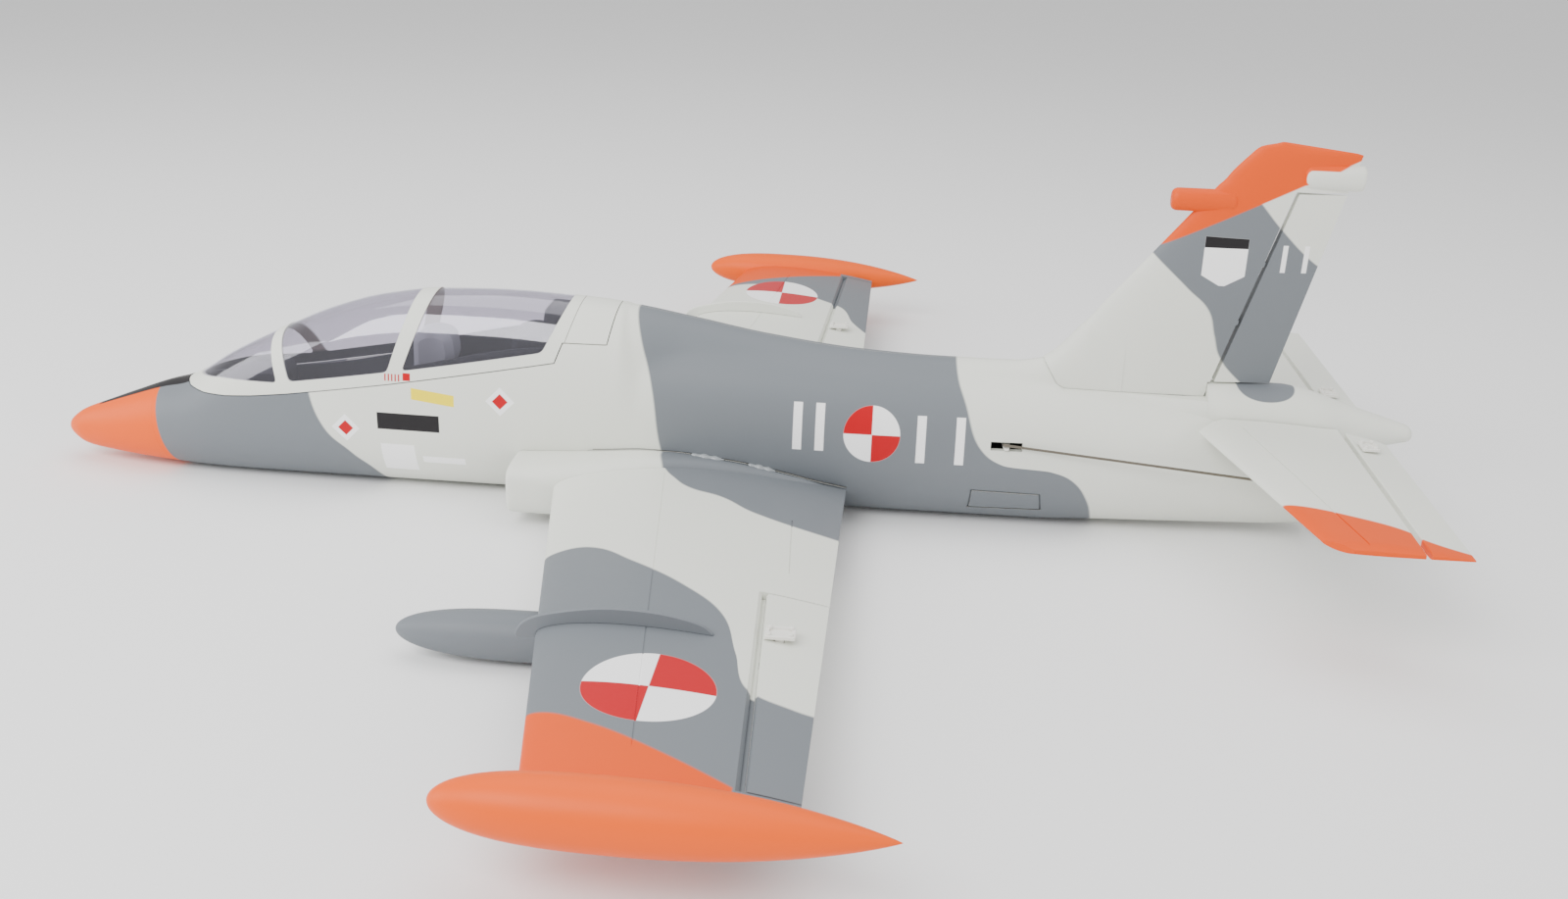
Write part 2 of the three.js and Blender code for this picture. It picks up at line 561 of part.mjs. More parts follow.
// ---------------------------------------------------------------- stabilizers
const stabLeading = (y) => STAB_LEADING_X + STAB_SWEEP * y;
const stabPlane = (x) => STAB_Z + STAB_INCIDENCE * x;
function stabRing(y, grow) {
  const leading = stabLeading(y) - grow;
  const chord = STAB_TRAILING_X + grow - leading;
  return foil(chord, 0.082 + (2 * grow) / chord, 9, 0).map(([along, up]) => (
    new THREE.Vector3(leading + along, -y, stabPlane(leading + along) + up)));
}
const stabShape = (grow) => solidOf(loft([12, 80, 150, STAB_TIP_Y].map((y) => stabRing(y, grow))));
const STAB_OUTLINE = [[780, -37], [803, -37], [812, -26], [824, -19], [824, 5], [ELEVATOR_HINGE_X - 2, 5],
  [ELEVATOR_HINGE_X - 2, -214], [862, -214], [850, -205.5], [838, -196], [780, -100]];
const ELEVATOR_OUTLINE = [[ELEVATOR_HINGE_X + 1.2, -25], [918, -34], [930, -46], [930, -214],
  [ELEVATOR_HINGE_X + 1.2, -214]];
const ELEVATOR_ARM = { x: 677, y: 25, z: 62.4, radius: 15.5 };
const ELEVATOR_HORN = { x: ELEVATOR_HINGE_X, y: 52, z: 49.5 };
const elevatorServoFrame = frameAt([ELEVATOR_ARM.x, -ELEVATOR_ARM.y, ELEVATOR_ARM.z + HORN_HALF + GAP],
  [1, 0, 0], [0, 0, -1]);

// ---------------------------------------------------------------- building the airframe
const wing = wingShape(0);
const wingGrown = wingShape(GAP);
const intakeGrown = intakeShape(GAP);
const tankGrown = tankShape(GAP);
const fairing = fairingShape(0);
const fairingGrown = fairingShape(GAP);
const airInside = bothSides(passageShape(0));

function buildFuselage() {
  const nose = outer.intersect(across(NOSE_CUT));
  part('nose_cone', nose, material.orange);

  const ledge = block([382, -60, 104], [404, 60, 130]);
  const room = cut(cavityShape(0), ledge);
  const magnetRoom = cylinder([394, 0, 111.4], [394, 0, 120], 4.3, 16);
  const slot = (side) => block([ELEVATOR_ARM.x - 10.5, Math.min(side * 48, side * 20), ELEVATOR_ARM.z - 2],
    [ELEVATOR_ARM.x + 10.5, Math.max(side * 48, side * 20), ELEVATOR_ARM.z + 4]);
  const servo = placed(servoRoom(SERVO.wide / 2 + SERVO_CLEAR), elevatorServoFrame);
  const whole = cut(outer, room, across(offset(NOSE_CUT, GAP)), hatchCut, finSeamCut, fairingGrown,
    bothSides(passageShape(1.8)), sparRoom, magnetRoom, bothSides(servo), slot(-1), slot(1));
  const seam = GAP / 2;
  part('fuselage_left_half', cut(whole, block([-20, -seam, -20], [1000, 80, 200])), material.foam);
  part('fuselage_right_half', cut(whole, block([-20, -80, -20], [1000, seam, 200])), material.camouflage);
  part('tail_fairing', fairing, material.foam);
  part('fuselage_magnet', cylinder([394, 0, 111.8], [394, 0, 115.4], 4, 16), material.steel);
}

function buildAirSystem() {
  const duct = bothSides(passageShape(1.4)).subtract(airInside).subtract(sparRoom);
  part('inlet_duct', duct.intersect(cavityShape(GAP)), material.black);

  const intake = cut(intakeShape(0), passageShape(0), outerGrown, sparRoom);
  pair('intake', intake, material.foam);

  part('exhaust_duct', cut(tubeShape(0, 0), tubeShape(-1.2, 3)), material.black);

  const ring = (r0, r1, x0, x1, sides) => (
    turned([[x0, r0], [x1, r0], [x1, r1], [x0, r1], [x0, r0]], 0, FAN_Z, sides));
  const vanes = Array.from({ length: 5 }, (_, k) => solidOf(new THREE.BoxGeometry(14, 1.6, 18)
    .translate(606, 0, 24).rotateX((2 * Math.PI * k) / 5).translate(0, 0, FAN_Z)));
  const motorRing = ring(15.2, 16.6, 596, 619, 16);
  const shroud = ring(FAN_RADIUS, FAN_RADIUS + 1.5, FAN_X, 620, 28);
  part('fan_housing', join(shroud, motorRing, ...vanes), material.black);

  const motor = turned([[593, 0], [593, 13], [597, 14.6], [628, 14.6], [640, 7], [642, 0]], 0, FAN_Z, 18);
  part('fan_motor', cut(motor, cylinder([592, 0, FAN_Z], [603, 0, FAN_Z], 2.5, 10)), material.steel);

  const hub = turned([[566, 0], [567, 5], [571, 9.5], [578, 12.6], [591.5, 13], [591.5, 2],
    [601, 1.6], [601, 0]], 0, FAN_Z, 18);
  const blades = Array.from({ length: 7 }, (_, k) => solidOf(new THREE.BoxGeometry(12, 1.4, 20)
    .rotateZ(0.75).translate(583, 0, 21.2).rotateX((2 * Math.PI * k) / 7).translate(0, 0, FAN_Z)));
  part('fan_rotor', join(hub, ...blades), material.carbon, moving.fan);
}

function buildEquipment() {
  const trayZ = 11;
  const strapSlot = (y) => block([250, y - 2, 0], [258, y + 2, 20]);
  const tray = join(block([140, -15, trayZ], [376, 15, trayZ + 2]),
    block([150, -2, FOAM_WALL + 4 * GAP], [372, 2, trayZ + 1]));
  part('battery_tray', cut(tray, strapSlot(-10), strapSlot(10)), material.plywood);
  const onTray = trayZ + 2 + GAP;
  part('battery', block([143, -16, onTray], [248, 16, onTray + 25]), material.black);
  part('receiver', block([266, -12, onTray], [306, 12, onTray + 11]), material.servo);
  part('speed_controller', block([316, -14, onTray], [372, 14, onTray + 9]), material.steel);
  part('wing_spar', spar, material.carbon);
}

function buildWings() {
  const aileronCut = planPrism(behindHinge(-1.6, AILERON_IN - 1.2, AILERON_OUT + 1.2), 0, 90);
  const pocket = placed(servoRoom(14), aileronServoFrame);
  const panel = cut(wing, outerGrown, intakeGrown, tankGrown, aileronCut, sparRoom, pocket);
  pair('wing', panel, material.foam);

  const fence = sidePrism([[411, 36.6], [408.6, 38.2], [409.3, 42], [414, 47.5], [424, 52], [445, 56.6],
    [462, 58.2], [482, 57.6], [498, 55], [509, 51.6], [515, 47], [515, 36], [440, 36], [424, 38.5]],
  -FENCE_Y - 1.1, -FENCE_Y + 1.1);
  pair('wing_fence', cut(fence, wingGrown), material.camouflage);

  pair('tip_tank', tankShape(0), material.orange);
  pair('drop_tank', join(dropTank, pylon).subtract(wingGrown), material.camouflage);

  const x = AILERON_HORN.x;
  const y = AILERON_HORN.y;
  const under = wingSkin(x + 3, y, -1);
  const over = wingSkin(x + 2.4, y + 8, 1);
  const tipZ = aileronHingeZ - AILERON_ARM.radius;
  const blade = sidePrism([[x + 0.6, under - 0.7], [x + 16, under - 0.7], [x + 3, tipZ - 2],
    [x - 2.5, tipZ - 2], [x - 2.5, tipZ + 3]], -y - HORN_HALF, -y + HORN_HALF);
  const foot = block([x + 3, -y - 7, under - 1.8], [x + 16, -y + 7, under - 0.7]);
  const post = block([x + 8, -y - 4, under - 1.2], [x + 13, -y + 4, over + 1]);
  const plate = block([x + 2.6, -y - 7.5, over + 0.5], [x + 19, -y + 7.5, over + 1.6]);
  const postRoom = block([x + 7.7, -y - 4.3, under - 5], [x + 13.3, -y + 4.3, over + 5]);
  const behind = planPrism(behindHinge(1, AILERON_IN, AILERON_OUT), 0, 90);
  const aileron = cut(wing.intersect(behind), tankGrown, postRoom);
  pair('aileron', aileron, material.camouflage, moving.surfaces);
  pair('aileron_horn', join(blade, foot, post, plate), material.clear, moving.linkages);

  pair('aileron_servo', placed(servoShape(), aileronServoFrame), material.servo);
  const armFrame = frameAt([AILERON_ARM.x, -AILERON_ARM.y, AILERON_ARM.z], [1, 0, 0], [0, -1, 0]);
  const arm = placed(armShape(AILERON_ARM.radius), armFrame);
  pair('aileron_servo_arm', arm, material.clear, moving.linkages);
  const rodY = -AILERON_ARM.y - 2.6;
  pair('aileron_pushrod', rodShape([AILERON_ARM.x - 2, rodY, AILERON_ARM.z - AILERON_ARM.radius],
    [x, rodY, tipZ], [0, 1, 0]), material.steel, moving.linkages);
}

function buildFin() {
  const tip = across(FIN_TIP);
  const servo = placed(join(servoShape(), cylinder([0, 0, -1], [0, 0, -0.1], 3, 10)), rudderServoFrame);
  const room = placed(servoRoom(SERVO.wide / 2 + SERVO_CLEAR), rudderServoFrame);
  // The pocket opens to starboard, with a slot for the arm's sweep.
  const mouth = placed(block([RUDDER_ARM.along - 9, RUDDER_ARM.side - 4.9, RUDDER_ARM.up - 20.8],
    [RUDDER_ARM.along + 19.2, 16, RUDDER_ARM.up + HORN_HALF + 2 * SERVO_CLEAR]), rudderFrame);
  const x0 = hingeX(60) - 1.8;
  const x1 = hingeX(RUDDER_HIGH + 1.4) - 1.8;
  const rudderRoom = across([[x0, 60], [900, 60], [900, RUDDER_HIGH + 1.4], [x1, RUDDER_HIGH + 1.4]]);
  const body = finShape(0).intersect(tip).subtract(rudderRoom);
  const bullets = [bullet(771, 812, 226.5, 7.4, 6.2), bullet(852, 890, 244.6, 8.2, 6)];
  const fin = cut(join(body, finFoot, ...bullets).intersect(finSeamKeep), room, mouth, fairingGrown);
  part('fin', fin, material.foam);

  const r0 = hingeX(RUDDER_LOW) + 1;
  const r1 = hingeX(RUDDER_HIGH) + 1;
  const rudder = finShape(0).intersect(across([[r0, RUDDER_LOW], [900, RUDDER_LOW], [900, RUDDER_HIGH],
    [r1, RUDDER_HIGH]]));
  part('rudder', rudder, material.camouflage, moving.surfaces);

  const reach = RUDDER_ARM.side + RUDDER_ARM.radius;
  const blade = placed(planPrism([[2, 2], [20, 2], [20, 8], [3, reach + 2.2], [-2.4, reach + 2.2],
    [-2.4, reach - 2.5]], RUDDER_ARM.up - HORN_HALF, RUDDER_ARM.up + HORN_HALF), rudderFrame);
  const base = placed(block([4, 2, RUDDER_ARM.up - 7], [19, 8.4, RUDDER_ARM.up + 7]), rudderFrame);
  const horn = blade.add(base).subtract(finShape(GAP));
  part('rudder_horn', horn, material.clear, moving.linkages);
  part('rudder_servo', servo, material.servo);
  const arm = placed(armShape(RUDDER_ARM.radius), rudderArmFrame);
  part('rudder_servo_arm', arm, material.clear, moving.linkages);
  const up = RUDDER_ARM.up + 2.6;
  const rod = join(cylinder([RUDDER_ARM.along - 2, reach, up], [-6, reach, up], ROD_RADIUS, 8),
    block([-8, reach - 1.5, up - ROD_RADIUS], [2, reach + 1.5, up + ROD_RADIUS]));
  part('rudder_pushrod', placed(rod, rudderFrame), material.steel, moving.linkages);
}

function buildTail() {
  const stab = stabShape(0);
  const fixed = cut(stab.intersect(planPrism(STAB_OUTLINE, 40, 120)), fairingGrown, outerGrown);
  pair('stabilizer', fixed, material.foam);

  const { x, y, z } = ELEVATOR_HORN;
  const under = stabPlane(x + 8) - 2.6;
  const over = stabPlane(x + 8) + 2.6;
  const blade = sidePrism([[x + 2.4, under - 1], [x + 17, under - 1], [x + 3.2, z - 2], [x - 2.6, z - 2],
    [x - 2.6, z + 4]], -y - HORN_HALF, -y + HORN_HALF);
  const foot = block([x + 3, -y - 6, under - 2], [x + 16, -y + 6, under - 0.9]);
  const post = block([x + 7, -y - 4, under - 1.5], [x + 11, -y + 4, over + 1]);
  const plate = block([x + 4.4, -y - 8, over + 0.7], [x + 13.4, -y + 8, over + 1.8]);
  const postRoom = block([x + 6.7, -y - 4.3, under - 5], [x + 11.3, -y + 4.3, over + 5]);
  const elevator = cut(stab.intersect(planPrism(ELEVATOR_OUTLINE, 40, 120)), postRoom);
  pair('elevator', elevator, material.foam, moving.surfaces);
  pair('elevator_horn', join(blade, foot, post, plate), material.clear, moving.linkages);

  pair('elevator_servo', placed(servoShape(), elevatorServoFrame), material.servo);
  const armFrame = frameAt([ELEVATOR_ARM.x, -ELEVATOR_ARM.y, ELEVATOR_ARM.z], [1, 0, 0], [0, 0, 1]);
  const arm = placed(armShape(ELEVATOR_ARM.radius), armFrame);
  pair('elevator_servo_arm', arm, material.clear, moving.linkages);
  const tipY = ELEVATOR_ARM.y + ELEVATOR_ARM.radius;
  const front = [ELEVATOR_ARM.x - 2.5, -tipY - 0.6, ELEVATOR_ARM.z + 2.6];
  const rod = rodShape(front, [x, -y + 2.6, z], [0, 1, 0]);
  pair('elevator_pushrod', rod, material.steel, moving.linkages);
}

// ---------------------------------------------------------------- canopy hatch
const ARCH_1 = [[175, 76.5], [184, 78], [172, 112], [163.5, 111]];
const ARCH_2 = [[255, 90], [265.5, 91.6], [285, 146], [273, 146]];
const PANES = [
  [[104, 70.5], [130, 74.6], ARCH_1[0], ARCH_1[3], [110, 112]],
  [ARCH_1[1], ARCH_2[0], ARCH_2[3], [200, 150], ARCH_1[2]],
  [ARCH_2[1], [362, 109], [381.5, 148], ARCH_2[2]],
];

function buildHatch() {
  const stations = [98, 112, 130, 150, 180, 207, 235, 260, 285, 332, 376, 412.9];
  const skin = cut(bodyShape(0, stations, 11), bodyShape(2.4, [100, ...stations.slice(1), 420], 11));
  const frameSide = across([[90, 50], FRAME_REAR[0], FRAME_REAR[1], [90, 150]]);
  const above = across([[90, 60], [120, 50], [376, 90], FRAME_REAR[0], FRAME_REAR[1], [90, 150]]);
  const frame = cut(skin.intersect(hatchKeep).intersect(above), ...PANES.map(across));
  part('canopy_frame', frame, material.foam, moving.hatch);

  const glassStations = [106, ...stations.slice(2, -2), 372, 388];
  const innerStations = [107.5, ...glassStations.slice(1, -1), 395];
  const pane = cut(bodyShape(2.7, glassStations, 11), bodyShape(3.6, innerStations, 11));
  const glassSide = across([[100, 68.5], [130, 70], [180, 71.5], [254, 85], [364, 106], [380, 147],
    [100, 147]]);
  part('canopy_glazing', pane.intersect(glassSide).intersect(frameSide), material.glass, moving.hatch);

  const rear = across(offset([FRAME_REAR[0], [406, 116], [413, 150], FRAME_REAR[1]], -GAP / 2));
  const magnetRoom = cylinder([394, 0, 110], [394, 0, 119.8], 4.3, 16);
  const fairingBlock = cut(outer.intersect(rear), magnetRoom);
  part('hatch_rear_fairing', fairingBlock, material.foam, moving.hatch);
  part('hatch_magnet', cylinder([394, 0, 116.2], [394, 0, 119.4], 4, 16), material.steel, moving.hatch);

  // An open-topped tub that hangs inside the frame.
  const rim = smooth([[110, 68], [152, 68], [180, 70], [254, 84], [368, 105]]);
  const tubRing = (x, inset, lift, top) => {
    const half = Math.min(beam(x) * 0.76, halfWidth(x, rim(x), 6.6)) - inset;
    const low = rim(x) - 21 + lift;
    return [[-half, rim(x) + top], [-half, low], [half, low], [half, rim(x) + top]].map(
      ([y, z]) => new THREE.Vector3(x, y, z));
  };
  const wall = 1.4;
  const outside = loft([118, 152, 180, 217, 254, 311, 366].map((x) => tubRing(x, 0, 0, 0)));
  const innerX = [118 + wall, 152, 180, 217, 254, 311, 366 - wall];
  const inside = loft(innerX.map((x) => tubRing(x, wall, wall, 8)));
  const tubShape = cut(solidOf(outside), solidOf(inside));
  part('cockpit_tub', tubShape, material.tub, moving.hatch);

  const floorAt = (x) => rim(x) - 21 + 1.4 + 2 * GAP;
  const seat = (x, height) => sidePrism([[x, floorAt(x)], [x + 26, floorAt(x + 26)],
    [x + 38, floorAt(x) + height], [x + 32, floorAt(x) + height + 1], [x + 21, floorAt(x) + 14],
    [x, floorAt(x) + 10]], -11, 11);
  part('front_seat', seat(246, 43), material.seat, moving.hatch);
  part('rear_seat', seat(326, 46), material.seat, moving.hatch);
}

buildFuselage();
buildAirSystem();
buildEquipment();
buildWings();
buildFin();
buildTail();
buildHatch();

export default plane;
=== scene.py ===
"""The looks of a foam radio-controlled jet trainer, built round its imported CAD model.

Shapes are worked out in millimetres at stations aft of the nose tip, then put in the frame in metres.
"""

import math

import bpy
import numpy as np
from mathutils import Matrix, Vector


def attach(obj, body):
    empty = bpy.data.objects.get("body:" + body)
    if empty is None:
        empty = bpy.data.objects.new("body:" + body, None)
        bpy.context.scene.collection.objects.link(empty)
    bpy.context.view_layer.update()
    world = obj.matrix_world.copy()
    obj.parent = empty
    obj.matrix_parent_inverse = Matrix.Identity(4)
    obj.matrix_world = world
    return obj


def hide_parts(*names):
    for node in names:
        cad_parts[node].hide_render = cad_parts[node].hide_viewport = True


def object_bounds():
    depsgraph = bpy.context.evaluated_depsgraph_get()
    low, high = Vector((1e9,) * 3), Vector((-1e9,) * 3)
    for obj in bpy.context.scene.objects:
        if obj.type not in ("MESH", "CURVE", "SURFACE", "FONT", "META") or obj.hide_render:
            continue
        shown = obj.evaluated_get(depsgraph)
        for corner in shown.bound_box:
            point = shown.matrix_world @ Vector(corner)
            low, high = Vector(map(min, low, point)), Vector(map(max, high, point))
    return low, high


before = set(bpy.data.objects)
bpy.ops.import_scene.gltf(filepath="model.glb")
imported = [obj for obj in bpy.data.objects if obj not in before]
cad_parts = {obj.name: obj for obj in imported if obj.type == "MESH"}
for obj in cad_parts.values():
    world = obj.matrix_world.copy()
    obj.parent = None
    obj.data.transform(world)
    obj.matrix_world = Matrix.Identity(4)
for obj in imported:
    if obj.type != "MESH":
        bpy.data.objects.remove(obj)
cad_low, cad_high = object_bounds()
NOSE_TIP = cad_low.x          # metres: station 0
MM = 0.001


# ------------------------------------------------------------------ driving dimensions, mm
GAP = 0.3
TIGHT = 0.05                  # a joint that is glued and filled
HATCH_REAR = 413
FAIRING_X = 809
LENGTH = 948
SEAM_Z = 95.2
RIDGE_Z = 88
NOZZLE_X = 890
FAN_Z = 42
WING = {"root": 36, "end": 436, "trail": 571.5, "lead": 363.5, "sweep": 0.193, "dihedral": 0.045,
        "z": 36.9, "incidence": -0.0243, "thick": 0.115, "camber": 0.012}


AILERON_HINGE = ((535, 228), (545.6, 429))
FENCE_Y = 291
TANK = {"nose": 412, "length": 204, "z": 46, "y": 450, "radius": 16.6, "droop": 0.018}
DROP_TANK = {"nose": 329.2, "length": 204, "z": 15.4, "y": 252.5, "radius": 14.5}
STAB = {"trail": 921.5, "lead": 792, "sweep": 0.25, "tip": 210, "z": 94.2, "incidence": -0.0165,
        "thick": 0.082}


ELEVATOR_HINGE_X = 897
RUDDER_HINGE = ((812.5, 106), (849.5, 234))
FIN = {"root": 9.6, "tip": 3.6, "top": 266, "cap": 236}
FIN_LEAD = {"x": 726, "z": 143, "slope": 0.787}
FIN_TRAIL = {"x": 851, "z": 107, "slope": 0.234}
RUDDER_LOW, RUDDER_HIGH = 105.7, 233.6
SKIN_GAP = 0.35               # between the body and what is glued to it
STAB_ROOT_GAP = 1.4
MAGNET = {"x": 394, "room": 4.3}
BODY_REACH = 70               # further out than the fuselage
ROOM_END = 1000               # further aft than the tail


# ------------------------------------------------------------------ curves
def smooth(points):
    """A curve through the points that never overshoots them. It takes a number or an array."""
    xs, ys = np.array(points, float).T
    secants = np.diff(ys) / np.diff(xs)
    slopes = np.zeros(len(xs))
    for i in range(1, len(xs) - 1):
        before, after = secants[i - 1], secants[i]
        if before * after > 0:
            slopes[i] = 2 * before * after / (before + after)

    def at(x):
        x = np.clip(x, xs[0], xs[-1])
        i = np.clip(np.searchsorted(xs, x, side="right") - 1, 0, len(xs) - 2)
        span = xs[i + 1] - xs[i]
        t = (x - xs[i]) / span
        rise = ys[i + 1] - ys[i]
        a, b = slopes[i] * span, slopes[i + 1] * span
        return ys[i] + t * (a + t * (3 * rise - 2 * a - b + t * (a + b - 2 * rise)))
    return at


def bend_through(points, steps=8):
    """An open curve through plan points, as a Catmull-Rom spline."""
    p = np.array(points, float)
    p = np.vstack([2 * p[0] - p[1], p, 2 * p[-1] - p[-2]])
    out = []
    for i in range(1, len(p) - 2):
        for t in np.arange(steps) / steps:
            a, b, c, d = p[i - 1:i + 3]
            out.append(0.5 * (2 * b + (c - a) * t + (2 * a - 5 * b + 4 * c - d) * t ** 2
                              + (3 * b - a - 3 * c + d) * t ** 3))
    return [*map(tuple, out), tuple(p[-2])]


def rounded(points, radius, steps=5):
    """A closed outline with its corners rounded off."""
    out = []
    p = [np.array(q, float) for q in points]
    for i, corner in enumerate(p):
        before, after = p[i - 1] - corner, p[(i + 1) % len(p)] - corner
        reach = min(radius, np.linalg.norm(before) * 0.45, np.linalg.norm(after) * 0.45)
        start = corner + before / np.linalg.norm(before) * reach
        end = corner + after / np.linalg.norm(after) * reach
        for t in np.linspace(0, 1, steps):
            out.append(tuple((1 - t) ** 2 * start + 2 * t * (1 - t) * corner + t ** 2 * end))
    return out


def offset(points, distance):
    """Grows a closed outline by moving each edge along its normal."""
    p = np.array(points, float)
    nxt = np.roll(p, -1, 0)
    sign = np.sign(np.sum(p[:, 0] * nxt[:, 1] - p[:, 1] * nxt[:, 0]))
    edge = (nxt - p) / np.linalg.norm(nxt - p, axis=1)[:, None]
    normal = np.stack([edge[:, 1], -edge[:, 0]], 1) * sign
    both = normal + np.roll(normal, 1, 0)
    both /= np.linalg.norm(both, axis=1)[:, None]
    stretch = distance / np.maximum(np.sum(both * normal, 1), 0.4)
    return [tuple(q) for q in p + both * stretch[:, None]]


# ------------------------------------------------------------------ meshes
def turn_steps(count, start=0.0):
    """Angles evenly spaced round a full turn."""
    return (np.arange(count) + start) * 2 * math.pi / count


def close_at_ends(steps):
    """Steps from 0 to 1 that are finest at both ends."""
    return (1 - np.cos(np.linspace(0, math.pi, steps + 1))) / 2


def mesh_object(points, faces):
    """A mesh from points in millimetres."""
    placed = np.array(points, float) * MM
    placed[:, 0] += NOSE_TIP
    mesh = bpy.data.meshes.new("piece")
    mesh.from_pydata(placed.tolist(), [], faces)
    obj = bpy.data.objects.new("piece", mesh)
    bpy.context.scene.collection.objects.link(obj)
    face_outwards(mesh)
    return obj


def face_outwards(mesh):
    """Turns every face over when the mesh is inside out."""
    mesh.calc_loop_triangles()
    co = np.array([v.co for v in mesh.vertices])
    tri = np.array([t.vertices for t in mesh.loop_triangles])
    a, b, c = co[tri[:, 0]], co[tri[:, 1]], co[tri[:, 2]]
    if np.sum(a * np.cross(b, c)) < 0:
        mesh.flip_normals()


def loft(rings):
    """A closed skin over a row of rings, with the first and last closed by a fan."""
    rings = np.array(rings, float)
    rows, count = rings.shape[:2]
    points = [*rings.reshape(-1, 3), rings[0].mean(0), rings[-1].mean(0)]
    faces = []
    for i in range(rows - 1):
        for j in range(count):
            k = (j + 1) % count
            faces.append((i * count + j, i * count + k, (i + 1) * count + k, (i + 1) * count + j))
    first, last = rows * count, rows * count + 1
    end = (rows - 1) * count
    for j in range(count):
        k = (j + 1) % count
        faces.append((first, k, j))
        faces.append((last, end + j, end + k))
    return mesh_object(points, faces)


def prism(outline, low, high, axes="xz"):
    """An outline carried straight across: in side view from y low to high, in plan from z low to high."""
    def put(p, w):
        return (p[0], w, p[1]) if axes == "xz" else (p[0], p[1], w)
    count = len(outline)
    points = [put(p, low) for p in outline] + [put(p, high) for p in outline]
    faces = [tuple(range(count))[::-1], tuple(range(count, 2 * count))]
    for j in range(count):
        k = (j + 1) % count
        faces.append((j, k, count + k, count + j))
    return mesh_object(points, faces)


def across(outline):
    """A side-view outline carried right through the fuselage."""
    return prism(outline, -BODY_REACH, BODY_REACH)


def box(low, high):
    return prism([(low[0], low[1]), (high[0], low[1]), (high[0], high[1]), (low[0], high[1])],
                 low[2], high[2], "xy")


def plate(outline, middle, thick, edge, axes="xz"):
    """A flat piece with eased edges."""
    half = thick / 2
    inner = offset(outline, -edge)
    layers = [(inner, -half), (outline, -half + edge), (outline, half - edge), (inner, half)]
    rings = [[(p[0], middle + w, p[1]) if axes == "xz" else (p[0], p[1], middle + w) for p in line]
             for line, w in layers]
    return loft(rings)


def rod(start, end, radius, sides=20):
    """A straight round bar with eased ends."""
    a, b = np.array(start, float), np.array(end, float)
    along = (b - a) / np.linalg.norm(b - a)
    side = np.cross(along, (0, 0, 1) if abs(along[2]) < 0.9 else (1, 0, 0))
    side /= np.linalg.norm(side)
    up = np.cross(along, side)
    ease = radius * 0.25
    steps = [(a, radius - ease), (a + along * ease, radius), (b - along * ease, radius), (b, radius - ease)]
    return loft([[c + r * (side * math.cos(t) + up * math.sin(t)) for t in turn_steps(sides)]
                 for c, r in steps])


def turned(profile, y, z):
    """A body of revolution about a line along X; the profile is (x, radius)."""
    rings = []
    for x, r in profile:
        r = max(r, 0.02)
        rings.append([(x, y + r * math.cos(t), z + r * math.sin(t)) for t in turn_steps(64)])
    return loft(rings)


def remove(obj):
    mesh = obj.data
    bpy.data.objects.remove(obj)
    bpy.data.meshes.remove(mesh)


def combine(piece, tool, operation):
    """Joins, cuts or clips the piece with the tool, and uses the tool up."""
    step = piece.modifiers.new("step", "BOOLEAN")
    step.operation = operation
    step.solver = "MANIFOLD"
    step.object = tool
    graph = bpy.context.evaluated_depsgraph_get()
    result = bpy.data.meshes.new_from_object(piece.evaluated_get(graph))
    piece.modifiers.clear()
    old = piece.data
    piece.data = result
    bpy.data.meshes.remove(old)
    remove(tool)
    return piece


def cut(piece, *tools):
    for tool in tools:
        combine(piece, tool, "DIFFERENCE")
    return piece


def keep_inside(piece, tool):
    return combine(piece, tool, "INTERSECT")


def join(piece, *others):
    for other in others:
        combine(piece, other, "UNION")
    return piece


def copy(obj):
    twin = obj.copy()
    twin.data = obj.data.copy()
    bpy.context.scene.collection.objects.link(twin)
    return twin


def mirror(obj):
    twin = copy(obj)
    twin.data.transform(Matrix.Diagonal((1, -1, 1, 1)))
    twin.data.flip_normals()
    return twin


def both_sides(obj):
    return join(obj, mirror(obj))


def place(obj, matrix):
    """Moves a mesh that was drawn round the nose tip, by a matrix in millimetres."""
    shift = Matrix.Translation((NOSE_TIP, 0, 0))
    scale = Matrix.Diagonal((MM, MM, MM, 1))
    obj.data.transform(shift @ scale @ matrix @ scale.inverted() @ shift.inverted())
    return obj


def shade(obj, angle):
    for face in obj.data.polygons:
        face.use_smooth = True
    obj.data.set_sharp_from_angle(angle=math.radians(angle))


def finish_piece(obj, name, body, nodes, slot, *materials, angle=34):
    """Names a piece, gives it its look and puts it on its body in place of its CAD nodes."""
    obj.name = name
    obj.data.name = name
    obj.data.materials.clear()
    for material in materials:
        obj.data.materials.append(material)
    shade(obj, angle)
    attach(obj, body)
    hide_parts(*nodes)


def finish_pair(piece, name, body, node, slot, material):
    """Finishes a port piece and its mirror image. {side} in the body's name becomes left or right."""
    twin = mirror(piece)
    for half, side in ((piece, "left"), (twin, "right")):
        finish_piece(half, f"{name}_{side}", body.format(side=side), [f"{side}_{node}"], slot, material)


# ------------------------------------------------------------------ materials
def srgb(red, green, blue):
    """A colour as seen on a screen, 0 to 255, in the linear values that shaders use."""
    def linear(v):
        v /= 255
        return v / 12.92 if v <= 0.04045 else ((v + 0.055) / 1.055) ** 2.4
    return (linear(red), linear(green), linear(blue), 1)


LIGHT = srgb(224, 226, 217)
GREY = srgb(113, 118, 123)
ORANGE = srgb(240, 92, 0)
ORANGE_DEEP = srgb(228, 80, 0)
WHITE = srgb(252, 252, 252)
RED = srgb(186, 6, 24)
DARK = srgb(32, 30, 32)
YELLOW = srgb(250, 226, 20)


